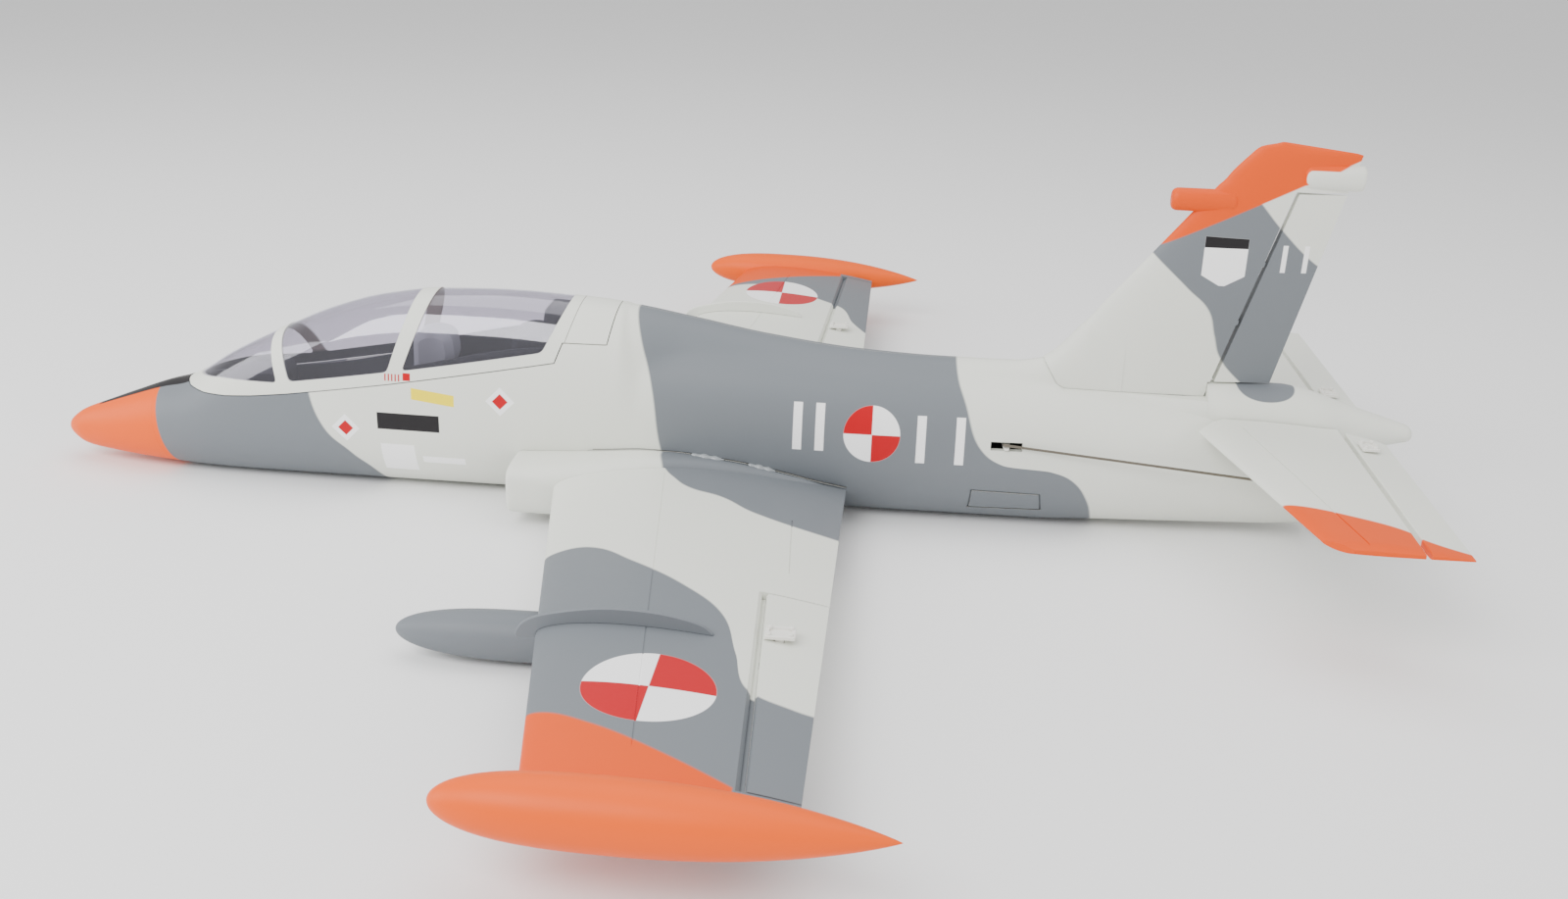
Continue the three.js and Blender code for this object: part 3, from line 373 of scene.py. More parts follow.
FOAM_ROUGH = 0.46
SMOOTH_ROUGH = 0.42           # a harder, smoother coat
ROUGH_SPREAD = 0.08
FOAM_SPECULAR = 0.22
DECAL_GLOSS = 0.16            # how much smoother a printed mark is
DECAL_EDGE = 0.35             # the width in mm of a printed mark's edge
SPRAY = 1.6                   # the same for sprayed paint
WING_SPRAY = 2.0


def feed(tree, socket, value):
    """Links a node's output to a socket, or sets a plain value on it."""
    if isinstance(value, Field):
        value = value.socket
    if isinstance(value, bpy.types.NodeSocket):
        tree.links.new(value, socket)
    else:
        socket.default_value = value


class Field:
    """A number that varies over a surface, made of shader nodes. Arithmetic on it adds nodes."""

    def __init__(self, tree, socket):
        self.tree, self.socket = tree, socket

    def math(self, operation, other=None):
        node = self.tree.nodes.new("ShaderNodeMath")
        node.operation = operation
        feed(self.tree, node.inputs[0], self)
        if other is not None:
            feed(self.tree, node.inputs[1], other)
        return Field(self.tree, node.outputs[0])

    def __add__(self, other):
        return self.math("ADD", other)

    def __sub__(self, other):
        return self.math("SUBTRACT", other)

    def __mul__(self, other):
        return self.math("MULTIPLY", other)

    def __abs__(self):
        return self.math("ABSOLUTE")

    def both(self, other):
        return self.math("MINIMUM", other)

    def either(self, other):
        return self.math("MAXIMUM", other)

    def over(self, limit, soft=0.5):
        """1 where the field is greater than the limit, 0 below, with an edge that many mm wide."""
        node = self.tree.nodes.new("ShaderNodeMapRange")
        node.clamp = True
        for slot, value in enumerate((self - limit, -soft / 2, soft / 2)):
            feed(self.tree, node.inputs[slot], value)
        return Field(self.tree, node.outputs[0])

    def under(self, limit, soft=0.5):
        return (self * -1).over(limit * -1, soft)

    def follow(self, points):
        """The value of a curve through the points, read at this field."""
        xs, ys = np.array(points, float).T
        low, high = ys.min() - 1, ys.max() + 1
        node = self.tree.nodes.new("ShaderNodeFloatCurve")
        curve = node.mapping.curves[0]
        along = (xs - xs[0]) / (xs[-1] - xs[0])
        level = (ys - low) / (high - low)
        curve.points[0].location = (along[0], level[0])
        curve.points[1].location = (along[-1], level[-1])
        for a, b in zip(along[1:-1], level[1:-1]):
            curve.points.new(a, b)
        node.mapping.update()
        scaled = (self - float(xs[0])) * float(1 / (xs[-1] - xs[0]))
        feed(self.tree, node.inputs[1], scaled)
        return Field(self.tree, node.outputs[0]) * float(high - low) + float(low)


class Look:
    """A material under construction: layers of colour, then roughness and grain."""

    def __init__(self, name, base, roughness=FOAM_ROUGH):
        self.material = bpy.data.materials.new(name)
        self.material.use_nodes = True
        self.tree = self.material.node_tree
        self.shader = self.tree.nodes["Principled BSDF"]
        self.where = self.tree.nodes.new("ShaderNodeTexCoord").outputs["Object"]
        split = self.tree.nodes.new("ShaderNodeSeparateXYZ")
        self.tree.links.new(self.where, split.inputs[0])
        raw = [Field(self.tree, split.outputs[i]) for i in range(3)]
        self.x = (raw[0] - NOSE_TIP) * (1 / MM)
        self.y = raw[1] * (1 / MM)
        self.z = raw[2] * (1 / MM)
        self.out = abs(self.y)
        self.port = self.y.under(0.0, 0.2)
        self.colour = base
        self.rough = roughness
        self.decals = None

    def layer(self, mask, colour):
        node = self.tree.nodes.new("ShaderNodeMix")
        node.data_type = "RGBA"
        for slot, value in (("Factor", mask), (6, self.colour), (7, colour)):
            feed(self.tree, node.inputs[slot], value)
        self.colour = node.outputs[2]

    def decal(self, mask, colour):
        """A glossier printed patch."""
        self.decals = mask if self.decals is None else self.decals.either(mask)
        self.layer(mask, colour)

    def texture(self, kind, scale):
        node = self.tree.nodes.new(kind)
        node.inputs["Scale"].default_value = scale
        self.tree.links.new(self.where, node.inputs["Vector"])
        return node

    def noise(self, scale, detail=3.0):
        node = self.texture("ShaderNodeTexNoise", scale)
        node.inputs["Detail"].default_value = detail
        return Field(self.tree, node.outputs[0])

    def beads(self, scale):
        node = self.texture("ShaderNodeTexVoronoi", scale)
        node.feature = "SMOOTH_F1"
        return Field(self.tree, node.outputs[0])

    def bump(self, height, strength, distance):
        node = self.tree.nodes.new("ShaderNodeBump")
        for slot, value in (("Strength", strength), ("Distance", distance), ("Height", height)):
            feed(self.tree, node.inputs[slot], value)
        self.tree.links.new(node.outputs[0], self.shader.inputs["Normal"])
        return self

    def mottle(self, amount, scale=9.0):
        """Slow variation in brightness, as a sprayed coat has."""
        node = self.tree.nodes.new("ShaderNodeHueSaturation")
        feed(self.tree, node.inputs["Value"], (self.noise(scale, 2.0) - 0.5) * amount + 1.0)
        feed(self.tree, node.inputs["Color"], self.colour)
        self.colour = node.outputs[0]

    def done(self, metallic=0.0):
        rough = (self.noise(60.0) - 0.5) * ROUGH_SPREAD + self.rough
        if self.decals is not None:
            rough = rough - self.decals * DECAL_GLOSS
        for slot, value in (("Roughness", rough), ("Base Color", self.colour), ("Metallic", metallic)):
            feed(self.tree, self.shader.inputs[slot], value)
        return self.material


def foam(look, rough_grain=0.10):
    """The skin of sprayed bead foam: soft beads about 3 mm across under a thin coat."""
    look.mottle(0.05)
    look.shader.inputs["Specular IOR Level"].default_value = FOAM_SPECULAR
    grain = look.beads(330.0) * 0.6 + look.noise(900.0, 2.0) * 0.4
    return look.bump(grain, rough_grain, 0.0004).done()


def bar(look, centre, half_x, half_z, slope=0.0):
    """A mask for a plain bar in side view."""
    along = look.x - centre[0]
    up = look.z - centre[1] - along * slope
    return abs(along).under(half_x, DECAL_EDGE).both(abs(up).under(half_z, DECAL_EDGE))


def quartered(look, second, centre, radius, limit=None, soft=DECAL_EDGE):
    """A plain red and white target mark, laid out on x and a second coordinate."""
    one, two = look.x - centre[0], second - centre[1]
    whole = (one * one + two * two).math("SQRT").under(radius, DECAL_EDGE)
    if limit is not None:
        whole = whole.both(limit)
    look.decal(whole, WHITE)
    look.decal(whole.both(abs(one.over(0.0, soft) - two.over(0.0, soft))), RED)


def diamond(look, centre, size):
    spread = abs(look.x - centre[0]) + abs(look.z - centre[1])
    look.decal(spread.under(size, DECAL_EDGE), WHITE)
    look.decal(spread.under(size * 0.55, DECAL_EDGE), RED)


def glare_panel(look):
    """The dark strip along the top of the nose, widening towards the windscreen."""
    half = look.x * 0.115 + 0.6
    strip = look.out.under(half, 0.6).both(look.z.over(30.0, 0.5))
    return strip.both(look.x.over(26.0, 3.0)).both(look.x.under(106.0, 0.5))


def nose_paint():
    look = Look("painted_nose", ORANGE, SMOOTH_ROUGH)
    look.layer(glare_panel(look), DARK)
    return foam(look)


def body_paint():
    look = Look("painted_foam_body", LIGHT)
    front = look.z.follow([(0, 243), (8, 242), (29, 226), (48, 208), (71, 199), (90, 197)])
    look.layer(look.x.under(front, SPRAY), GREY)
    ahead = look.z.follow([(0, 470), (14, 458), (26, 452), (50, 444), (87, 438), (117, 429), (145, 420)])
    behind = look.z.follow([(0, 741), (10, 739), (26, 734), (40, 724), (47, 708), (50, 676), (61, 660),
                            (90, 648), (105, 642), (120, 641)])
    look.layer(look.x.over(ahead, SPRAY).both(look.x.under(behind, SPRAY)), GREY)
    look.layer(look.x.under(look.z * -0.19 + 88.0, 1.0), ORANGE)
    look.layer(glare_panel(look), DARK)
    quartered(look, look.z, (587, 67), 19)
    for centre in ((537, 70), (552, 70), (620, 65), (646, 65)):
        look.decal(bar(look, centre, 3, 16), WHITE)
    for centre in ((224, 49), (334, 75)):
        diamond(look, centre, 10)
    for centre, half_x, half_z, slope, colour in (
            ((287, 75), 15, 4, -0.12, YELLOW), ((269, 56), 22, 6, 0.0, DARK),
            ((260, 28), 12, 11, 0.0, WHITE), ((292, 28), 15, 2.6, 0.0, WHITE)):
        look.decal(bar(look, centre, half_x, half_z, slope), colour)
    return foam(look)


def hatch_paint():
    look = Look("painted_hatch", LIGHT, SMOOTH_ROUGH)
    look.decal(bar(look, (269, 88), 2.6, 2.6), RED)
    for x in (254, 256.4, 258.8, 261.2, 263.6):
        look.decal(bar(look, (x, 87), 0.5, 2.4), RED)
    return foam(look, 0.06)


def wing_paint():
    look = Look("painted_foam_wing", LIGHT)
    port_edge = look.x.follow([(380, 202), (402, 200), (428, 195), (457, 212), (490, 236), (514, 262),
                               (528, 307), (538, 341), (561, 351), (575, 353)])
    far_edge = look.x.follow([(380, 372), (482, 373), (505, 369), (523, 351), (547, 337), (559, 304),
                              (575, 280)])
    port_grey = look.port.both(look.out.over(port_edge, WING_SPRAY))
    far_side = look.port * -1 + 1.0
    far_grey = far_side.both(look.out.over(far_edge, WING_SPRAY))
    look.layer(port_grey.either(far_grey), GREY)
    root_edge = look.x.follow([(430, 40), (444, 52), (458, 75), (473, 92), (493, 99), (518, 117),
                               (571, 132)])
    at_root = look.x.over(436.0, WING_SPRAY).both(look.out.under(root_edge, WING_SPRAY))
    look.layer(look.port.both(at_root), GREY)
    tip_edge = look.x.follow([(400, 377), (439, 379), (470, 391), (507, 410), (542, 429), (600, 460)])
    look.layer(look.out.over(tip_edge, WING_SPRAY).both(look.x.under(541.0, 1.0)), ORANGE_DEEP)
    on_top = (look.z - look.out * WING["dihedral"] - look.x * WING["incidence"]).over(37.0, 0.5)
    quartered(look, look.out, (491, 353), 33, on_top, 0.4)
    return foam(look)


def intake_paint():
    look = Look("painted_intake", LIGHT)
    edge = look.out.follow([(40, 447), (52, 446), (75, 458), (92, 473)])
    look.layer(look.port.both(look.x.over(edge, WING_SPRAY)), GREY)
    return foam(look)


def fin_paint():
    look = Look("painted_foam_fin", LIGHT)
    ahead = look.z.follow([(94, 860), (97, 843), (108, 828), (124, 814), (138, 809), (155, 803), (169, 788),
                           (191, 763), (230, 720)])
    behind = look.z.follow([(94, 900), (170, 900), (188, 868), (211, 842), (225, 829), (250, 806)])
    look.layer(look.x.over(ahead, SPRAY).both(look.x.under(behind, SPRAY)), GREY)
    tip_line = look.z - look.x * 0.504
    on_blade = look.x.under(846.0, 0.4).either(look.out.under(4.9, 0.3))
    look.layer(tip_line.over(-190.6, 1.0).both(on_blade), ORANGE_DEEP)
    shield = bar(look, (809, 188), 14, 16, -0.03)
    point = (look.z + abs(look.x - 809.0) * -0.55).over(171.0, 0.4)
    look.decal(shield.both(point), WHITE)
    look.decal(shield.both(look.z.over(197.0, 0.4)), DARK)
    for x in (847, 861):
        look.decal(bar(look, (x, 191), 1.6, 9), WHITE)
    return foam(look)


def fairing_paint():
    look = Look("painted_fairing", LIGHT)
    foot = (look.x - 848.0) * 0.05
    dip = (foot * foot + (look.z - 106.0) * (look.z - 106.0) * 0.012).under(1.0, 0.1)
    look.layer(dip, GREY)
    return foam(look)


def stab_paint():
    look = Look("painted_foam_stab", LIGHT)
    edge = look.x.follow([(800, 140), (830, 153), (860, 166), (894, 183), (897, 189), (935, 207)])
    shorter = (look.port * -1 + 1.0) * 20.0
    look.layer(look.out.over(edge + shorter, SPRAY), ORANGE_DEEP)
    return foam(look)


def frame_inside():
    """The inner faces of the canopy frame: dark along the sill and bare on the arches."""
    look = Look("frame_inside", srgb(182, 168, 158), 0.7)
    sill = look.x.follow([(95, 72), (130, 76), (180, 79), (255, 92), (362, 111), (380, 113)])
    look.layer(look.z.under(sill, 3.0), srgb(48, 50, 56))
    return look.done()


def plain_foam(name, colour, rough=FOAM_ROUGH, grain=0.10):
    return foam(Look(name, colour, rough), grain)


GLOSS_INDEX = 1.75


def glass():
    """Thin tinted plastic, clear enough to see the cockpit through."""
    material = bpy.data.materials.new("canopy_plastic")
    material.use_nodes = True
    tree = material.node_tree
    tree.nodes.clear()
    output = tree.nodes.new("ShaderNodeOutputMaterial")
    mix = tree.nodes.new("ShaderNodeMixShader")
    tint = tree.nodes.new("ShaderNodeBsdfTransparent")
    tint.inputs["Color"].default_value = srgb(236, 234, 240)
    gloss = tree.nodes.new("ShaderNodeBsdfGlossy")
    gloss.inputs["Color"].default_value = (0.95, 0.95, 1.0, 1)
    gloss.inputs["Roughness"].default_value = 0.05
    facing = tree.nodes.new("ShaderNodeFresnel")
    back = tree.nodes.new("ShaderNodeNewGeometry").outputs["Backfacing"]
    index = Field(tree, back) * (1 / GLOSS_INDEX - GLOSS_INDEX) + GLOSS_INDEX
    tree.links.new(index.socket, facing.inputs["IOR"])
    tree.links.new(facing.outputs[0], mix.inputs[0])
    tree.links.new(tint.outputs[0], mix.inputs[1])
    tree.links.new(gloss.outputs[0], mix.inputs[2])
    tree.links.new(mix.outputs[0], output.inputs[0])
    return material


def plain(name, colour, rough, metallic=0.0, grain=0.05, scale=700.0):
    look = Look(name, colour, rough)
    look.mottle(0.06, 30.0)
    return look.bump(look.noise(scale), grain, 0.0003).done(metallic)


body_material = body_paint()
hatch_material = hatch_paint()
wing_material = wing_paint()
intake_material = intake_paint()
fin_material = fin_paint()
fairing_material = fairing_paint()
stab_material = stab_paint()
orange_foam = plain_foam("orange_foam", ORANGE, SMOOTH_ROUGH)
grey_foam = plain_foam("grey_foam", GREY)
canopy_plastic = glass()
bare_frame = frame_inside()
nose_material = nose_paint()
cockpit_plastic = plain("cockpit_plastic", srgb(44, 46, 52), 0.6)
seat_plastic = plain("seat_plastic", srgb(168, 172, 176), 0.55)
nylon = plain("horn_nylon", srgb(232, 231, 224), 0.38, grain=0.02)
black_duct = plain("duct_plastic", srgb(34, 34, 37), 0.5)
case_plastic = plain("electronics_case", srgb(44, 46, 54), 0.42)
steel = plain("plated_steel", srgb(186, 188, 192), 0.28, 1.0, 0.03)
# pushrod steel darkened: partly the wire's own tone, partly painted shade for the rod's shadowed side
rod_steel_with_painted_shade = plain("rod_steel_with_painted_shade", srgb(120, 114, 104), 0.34, 1.0, 0.03)
servo_plastic = plain("servo_plastic", srgb(190, 188, 178), 0.45)
alloy = plain("motor_alloy", srgb(168, 170, 176), 0.35, 1.0, 0.03)
carbon = plain("carbon_tube", srgb(26, 27, 30), 0.3, 0.0, 0.08, 1600.0)
ply = plain("plywood", srgb(206, 176, 124), 0.7, 0.0, 0.12, 400.0)
glue = plain("clear_glue", srgb(150, 155, 158), 0.2, 0.0, 0.05)


# ------------------------------------------------------------------ fuselage sections
crown = smooth([(0, 31.5), (20, 38.8), (50, 50.5), (81, 62), (97, 66.5), (130, 86.5), (164, 104),
                (206, 123), (242, 134), (282, 140), (332, 141.5), (380, 139.5), (419, 136), (457, 130),
                (513, 120), (575, 113), (630, 111), (681, 111.5), (699, 114.5), (712, 118), (770, 118),
                (809, 96), (850, 80), (890, 61)])


belly = smooth([(0, 13), (18, 8), (33, 6), (62, 3), (96, 1), (130, 0), (700, 0), (741, 1.5),
                (802, 3.5), (855, 5.5), (890, 7)])


beam = smooth([(0, 7.5), (15, 11.5), (40, 19), (85, 29), (130, 35), (180, 38.5), (233, 41),
               (324, 43), (560, 43), (666, 41), (741, 38), (800, 35), (855, 31), (890, 27)])


waist = smooth([(0, 22), (20, 23), (66, 30), (96, 34), (130, 42), (180, 46), (233, 49), (560, 50),
                (666, 50), (741, 46), (800, 42), (855, 37), (890, 34)])


belly_flat = smooth([(60, 0), (150, 3), (700, 3), (760, 1.5), (855, 0)])
roundness = smooth([(90, 2), (180, 2.3), (700, 2.3), (890, 2)])
shoulder = smooth([(HATCH_REAR, 137), (430, 117), (460, 116), (500, 115), (546, 112.5), (590, 109.5),
                   (640, 106), (703, 101), (741, 98), (809, 92), (850, 78), (890, 61)])


ridge = smooth([(HATCH_REAR, 34), (460, 27), (546, 25), (590, 22), (640, 19), (703, 13), (712, 11),
                (809, 11), (890, 6)])


VALLEY = 4.0                  # how softly the spine runs into the body
NOSE_ROUND = 13.0             # length of the rounded nose tip
NOSE_AXIS_Z = 22.0


def half_width(x, z, inset=0.0):
    """Half the width of the fuselage at station x and heights z: a body lobe with a spine on it."""
    z = np.asarray(z, float)
    e = roundness(x)
    middle, bottom = waist(x), belly(x) + inset
    top = (crown(x) if x < HATCH_REAR else min(shoulder(x), crown(x))) - inset
    flat = max(belly_flat(x) - inset, 0)
    side = max(beam(x) - inset, 0.5)
    low = np.clip((middle - z) / (middle - bottom), 0, 1)
    high = np.clip((z - middle) / (top - middle), 0, 1)
    width = np.where(z < middle, flat + (side - flat) * np.sqrt(1 - low ** 2),
                     side * (1 - high ** e) ** (1 / e))
    peak = crown(x) - inset
    if x >= HATCH_REAR and peak > RIDGE_Z:
        t = np.clip((z - RIDGE_Z) / (peak - RIDGE_Z), 0, 1)
        spine = np.where(z > RIDGE_Z, (ridge(x) - inset * 0.6) * np.sqrt(1 - t ** 2), 0)
        overlap = np.maximum(VALLEY - np.abs(width - spine), 0) ** 2 / (4 * VALLEY)
        width = np.where((z > RIDGE_Z) & (z < top + 2), np.maximum(width, spine) + overlap * (t < 0.98),
                         np.maximum(width, spine))
    return width


def side_at(x, z, inset=0.0):
    """Half the width of the fuselage at one height."""
    return float(half_width(x, [z], inset)[0])


def even_steps(line, count):
    """The same line with its points evenly spaced along it."""
    line = np.array(line)
    reach = np.concatenate([[0], np.cumsum(np.linalg.norm(np.diff(line, axis=0), axis=1))])
    wanted = np.linspace(0, reach[-1], count)
    return np.stack([np.interp(wanted, reach, line[:, i]) for i in range(2)], 1)


def body_ring(x, inset, count):
    """The fuselage outline at station x, drawn in to a round tip at the nose."""
    if x < NOSE_ROUND and inset <= 0.5:
        grow = math.sqrt(max(1 - (1 - x / NOSE_ROUND) ** 2, 0.0004))
        centre = np.array([x, 0, NOSE_AXIS_Z])
        return centre + (cross_section(x, inset, count) - centre) * grow
    return cross_section(x, inset, count)


def cross_section(x, inset, count):
    """The fuselage outline at station x, with its points evenly spaced."""
    bottom = belly(x) + inset
    height = crown(x) - inset - bottom
    z = bottom + height * close_at_ends(219)
    line = [(0, bottom), *zip(half_width(x, z, inset), z), (0, bottom + height)]
    half = even_steps(line, count)
    port = [(x, -y, z) for y, z in half]
    starboard = [(x, y, z) for y, z in half[-2:0:-1]]
    return np.array(port + starboard)


BODY_STATIONS = sorted({*np.linspace(0, 1, 12) ** 2 * NOSE_ROUND, *np.linspace(NOSE_ROUND, NOZZLE_X, 190),
                        *np.linspace(HATCH_REAR, 436, 12)})


def body_shape(inset, stations=BODY_STATIONS, count=58):
    return loft([body_ring(x, inset, count) for x in stations])


FAIRING_TOP = smooth([(FAIRING_X, 104.5), (858, 104.5), (876, 101.5), (904, 93), (943, 81.5), (948, 80)])
FAIRING_BOTTOM = smooth([(FAIRING_X, 62.5), (867, 62.5), (904, 63.4), (930, 66), (948, 69.5)])
FAIRING_HALF = smooth([(FAIRING_X, 19), (825, 21), (880, 21), (904, 17), (943, 8), (948, 7)])


def fairing_shape(grow):
    rings = []
    for x in [*np.linspace(FAIRING_X - grow, 944, 60), 945.4, 946.4, 947.2, 947.7, LENGTH + grow * 0.3]:
        ease = 1 - 0.28 * max((x - 945) / 3, 0) ** 2
        middle = (FAIRING_TOP(x) + FAIRING_BOTTOM(x)) / 2
        high = (FAIRING_TOP(x) - FAIRING_BOTTOM(x)) / 2 * ease + grow
        rings.append(oval(x, middle, FAIRING_HALF(x) * ease + grow, high))
    return loft(rings)


def oval(x, z, half, high):
    return [(x, half * math.sin(t), z - high * math.cos(t)) for t in turn_steps(72)]


def saddle():
    """Widens the top of the body towards the tail until it meets the front of the tail fairing."""
    rings = []
    for t in np.linspace(0, 1, 30):
        x = 690 + (FAIRING_X - TIGHT - 690) * t
        rings.append(oval(x, 74 + 9.5 * t, 18 + t, 22 - t))
    return loft(rings)


# ------------------------------------------------------------------ air passages
def passage_ring(x, y, z, wide, high, e, grow, count=48):
    angles = turn_steps(count, 0.5)
    c, s = np.cos(angles), np.sin(angles)
    return np.stack([np.full(count, x), y + (wide + grow) * np.sign(c) * np.abs(c) ** (2 / e),
                     z + (high + grow) * np.sign(s) * np.abs(s) ** (2 / e)], 1)


def passage(rows, grow, stations):
    """A rounded box whose place and size run smoothly through the rows x, y, z, wide, high, squareness."""
    table = np.array(rows, float)
    curves = [smooth(list(zip(table[:, 0], table[:, i]))) for i in range(1, 6)]
    return [passage_ring(x, *[float(c(x)) for c in curves], grow) for x in stations]


PASSAGE = [(335, -61.5, 25.5, 17, 14, 4), (375, -57, 26, 17.5, 13.5, 4), (410, -46, 28, 16.5, 14, 3.5),
           (450, -28, 31, 15.5, 16, 3), (500, -18, 38, 17, 24, 2.5), (545, -8, 41.5, 24, 29.5, 2.2),
           (574.5, 0, FAN_Z, 31.5, 31.5, 2)]


INTAKE = [(346, -58.5, 25, 22.5, 17, 4), (375, -59, 25.8, 23, 17.7, 4), (400, -56.5, 27, 22.5, 18, 3.6),
          (430, -52, 29.2, 18.5, 18.1, 3.2), (460, -48, 30.2, 12.5, 16.3, 2.8),
          (500, -44.5, 29.3, 8.5, 12.3, 2.4), (540, -42.5, 27, 5.8, 6.6, 2.2), (571, -41, 24, 3, 2, 2)]


def passage_shape(grow):
    return loft(passage(PASSAGE, grow, np.linspace(PASSAGE[0][0], PASSAGE[-1][0], 40)))


def intake_shape(grow):
    rings = passage(INTAKE, grow, np.linspace(350, 571, 64))
    lip = passage(INTAKE, grow, [350, 350, 350, 350])
    for ring, x, shrink in zip(lip, (346, 346.6, 347.6, 349), (2.4, 1.1, 0.35, 0.05)):
        centre = ring.mean(0)
        away = ring - centre
        ring += -away / np.linalg.norm(away, axis=1)[:, None] * shrink
        ring[:, 0] = x
    return loft([*lip, *rings])


TUBE_RADIUS = smooth([(620, 33), (650, 30), (677, 28.6), (741, 27.4), (NOZZLE_X - 2, 23.4)])


def tube_shape(grow, ends):
    rings = []
    for x in np.linspace(620.5 - ends, NOZZLE_X - 2 + ends, 40):
        z = FAN_Z - 8 * (x - 620) / (NOZZLE_X - 622)
        r = TUBE_RADIUS(x)
        rings.append(passage_ring(x, 0, z, r, r, 2, grow, 64))
    return loft(rings)


# ------------------------------------------------------------------ flying surfaces
def foil_half(t, thick):
    return 0.0045 * t + 5 * thick * (0.2969 * np.sqrt(t) - 0.126 * t - 0.3516 * t ** 2 + 0.2843 * t ** 3
                                     - 0.1036 * t ** 4)


def foil_ring(lead, chord, thick, camber):
    """(distance aft, height) round a wing section, over the top and back underneath."""
    t = close_at_ends(44)
    line = 4 * camber * t * (1 - t)
    half = foil_half(t, thick)
    over = np.stack([lead + t * chord, (line + half) * chord], 1)
    under = np.stack([lead + t[1:] * chord, (line[1:] - half[1:]) * chord], 1)
    return np.vstack([over, under[::-1]])


def wing_lead(y):
    return WING["lead"] + WING["sweep"] * y


def wing_plane(x, y):
    return WING["z"] + WING["dihedral"] * y + WING["incidence"] * x


def wing_shape(grow):
    rings = []
    for y in np.linspace(WING["root"], WING["end"], 30):
        lead = wing_lead(y) - grow
        chord = WING["trail"] + grow - lead
        ring = foil_ring(lead, chord, WING["thick"] + 2 * grow / chord, WING["camber"])
        rings.append([(x, -y, wing_plane(x, y) + up) for x, up in ring])
    return loft(rings)


def wing_skin(x, y, side):
    chord = WING["trail"] - wing_lead(y)
    t = (x - wing_lead(y)) / chord
    return wing_plane(x, y) + chord * (4 * WING["camber"] * t * (1 - t) + side * foil_half(t, WING["thick"]))


def hinge_plan(shift, inboard, outboard):
    """A plan outline from the aileron's hinge line to past the trailing edge."""
    (x0, y0), (x1, y1) = AILERON_HINGE
    slope = (x1 - x0) / (y1 - y0)
    return [(x0 + (inboard - y0) * slope + shift, -inboard), (600, -inboard), (600, -outboard),
            (x0 + (outboard - y0) * slope + shift, -outboard)]


def tank_profile(nose, length, radius, grow=0.0):
    """(x, radius) along a tear-drop tank."""
    t = close_at_ends(60)
    fullest = 0.4
    front = np.sqrt(np.maximum(1 - np.clip(1 - t / fullest, 0, 1) ** 2.9, 0))
    back = np.maximum(1 - np.clip((t - fullest) / (1 - fullest), 0, 1) ** 2.1, 0) ** 0.9
    r = np.where(t < fullest, front, back) * radius + grow * (np.sin(t * math.pi) > 0.02)
    return list(zip(nose + t * length, r))


def tip_tank(grow):
    level = turned(tank_profile(0, TANK["length"], TANK["radius"], grow), 0, 0)
    turn = Matrix.Rotation(TANK["droop"], 4, "Y")
    return place(level, Matrix.Translation((TANK["nose"], -TANK["y"], TANK["z"])) @ turn)


def groove(points, width, depth, floor=1.0):
    """A cutter for a line scribed in a skin seen from above. A floor under 1 slopes its sides."""
    p = np.array(points, float)
    side = np.cross(np.gradient(p, axis=0), (0, 0, 1))
    side /= np.linalg.norm(side, axis=1)[:, None]
    lift = np.array([0, 0, 1.0])
    half, above = width / 2, 0.6
    rings = [[q - s * half * floor - lift * depth, q + s * half * floor - lift * depth,
              q + s * half + lift * above, q - s * half + lift * above] for q, s in zip(p, side)]
    return loft(rings)


def skin_line(start, end, level, steps):
    """Points on a port skin from one (x, y) to another."""
    path = []
    for t in np.linspace(0, 1, steps):
        x, y = (start[i] + (end[i] - start[i]) * t for i in range(2))
        path.append((x, -y, level(x, y)))
    return path


def wing_line(start, end, width=0.7, depth=0.5, floor=1.0):
    """A cutter for a line in the top of the port wing, between (x, y) points."""
    return groove(skin_line(start, end, lambda x, y: wing_skin(x, y, 1), 40), width, depth, floor)


def stab_shape():
    rings = []
    high = STAB["tip"]
    ys = [*np.linspace(12, high - 9, 24), *(high - 9 * (1 - np.sin(np.linspace(0.2, 1.5, 7))))]
    for y in ys:
        lead = stab_lead(y)
        ease = math.sqrt(max(1 - max((y - high + 9) / 9.6, 0) ** 2, 0.02))
        ring = foil_ring(lead, STAB["trail"] - lead, STAB["thick"] * ease, 0)
        rings.append([(x, -y, stab_plane(x) + up) for x, up in ring])
    return loft(rings)


def stab_lead(y):
    return STAB["lead"] + STAB["sweep"] * y


def stab_plane(x):
    return STAB["z"] + STAB["incidence"] * x


def stab_skin(x, y):
    chord = STAB["trail"] - stab_lead(y)
    return stab_plane(x) + chord * foil_half((x - stab_lead(y)) / chord, STAB["thick"])


def stab_line(start, end, width, depth, floor=1.0):
    """A cutter for a line in the top of the port stabilizer, between (x, y) points."""
    return groove(skin_line(start, end, stab_skin, 30), width, depth, floor)


def hinge_x(z):
    (x0, z0), (x1, z1) = RUDDER_HINGE
    return x0 + (z - z0) * (x1 - x0) / (z1 - z0)


RUDDER_TILT = math.atan2(RUDDER_HINGE[1][0] - RUDDER_HINGE[0][0], RUDDER_HINGE[1][1] - RUDDER_HINGE[0][1])
FIN_TIP_EDGE = smooth([(236, 797), (238, 801), (247, 808), (256, 816), (262.5, 823), (266, 836)])


def fin_lead(z):
    straight = FIN_LEAD["x"] + (z - FIN_LEAD["z"]) * FIN_LEAD["slope"]
    return max(straight, float(FIN_TIP_EDGE(z))) if z > FIN["cap"] else straight


def fin_trail(z):
    straight = FIN_TRAIL["x"] + (z - FIN_TRAIL["z"]) * FIN_TRAIL["slope"]
    slope_top = 887 - (z - 260) * 51 / 6
    return min(straight, slope_top) if z > 260 else straight


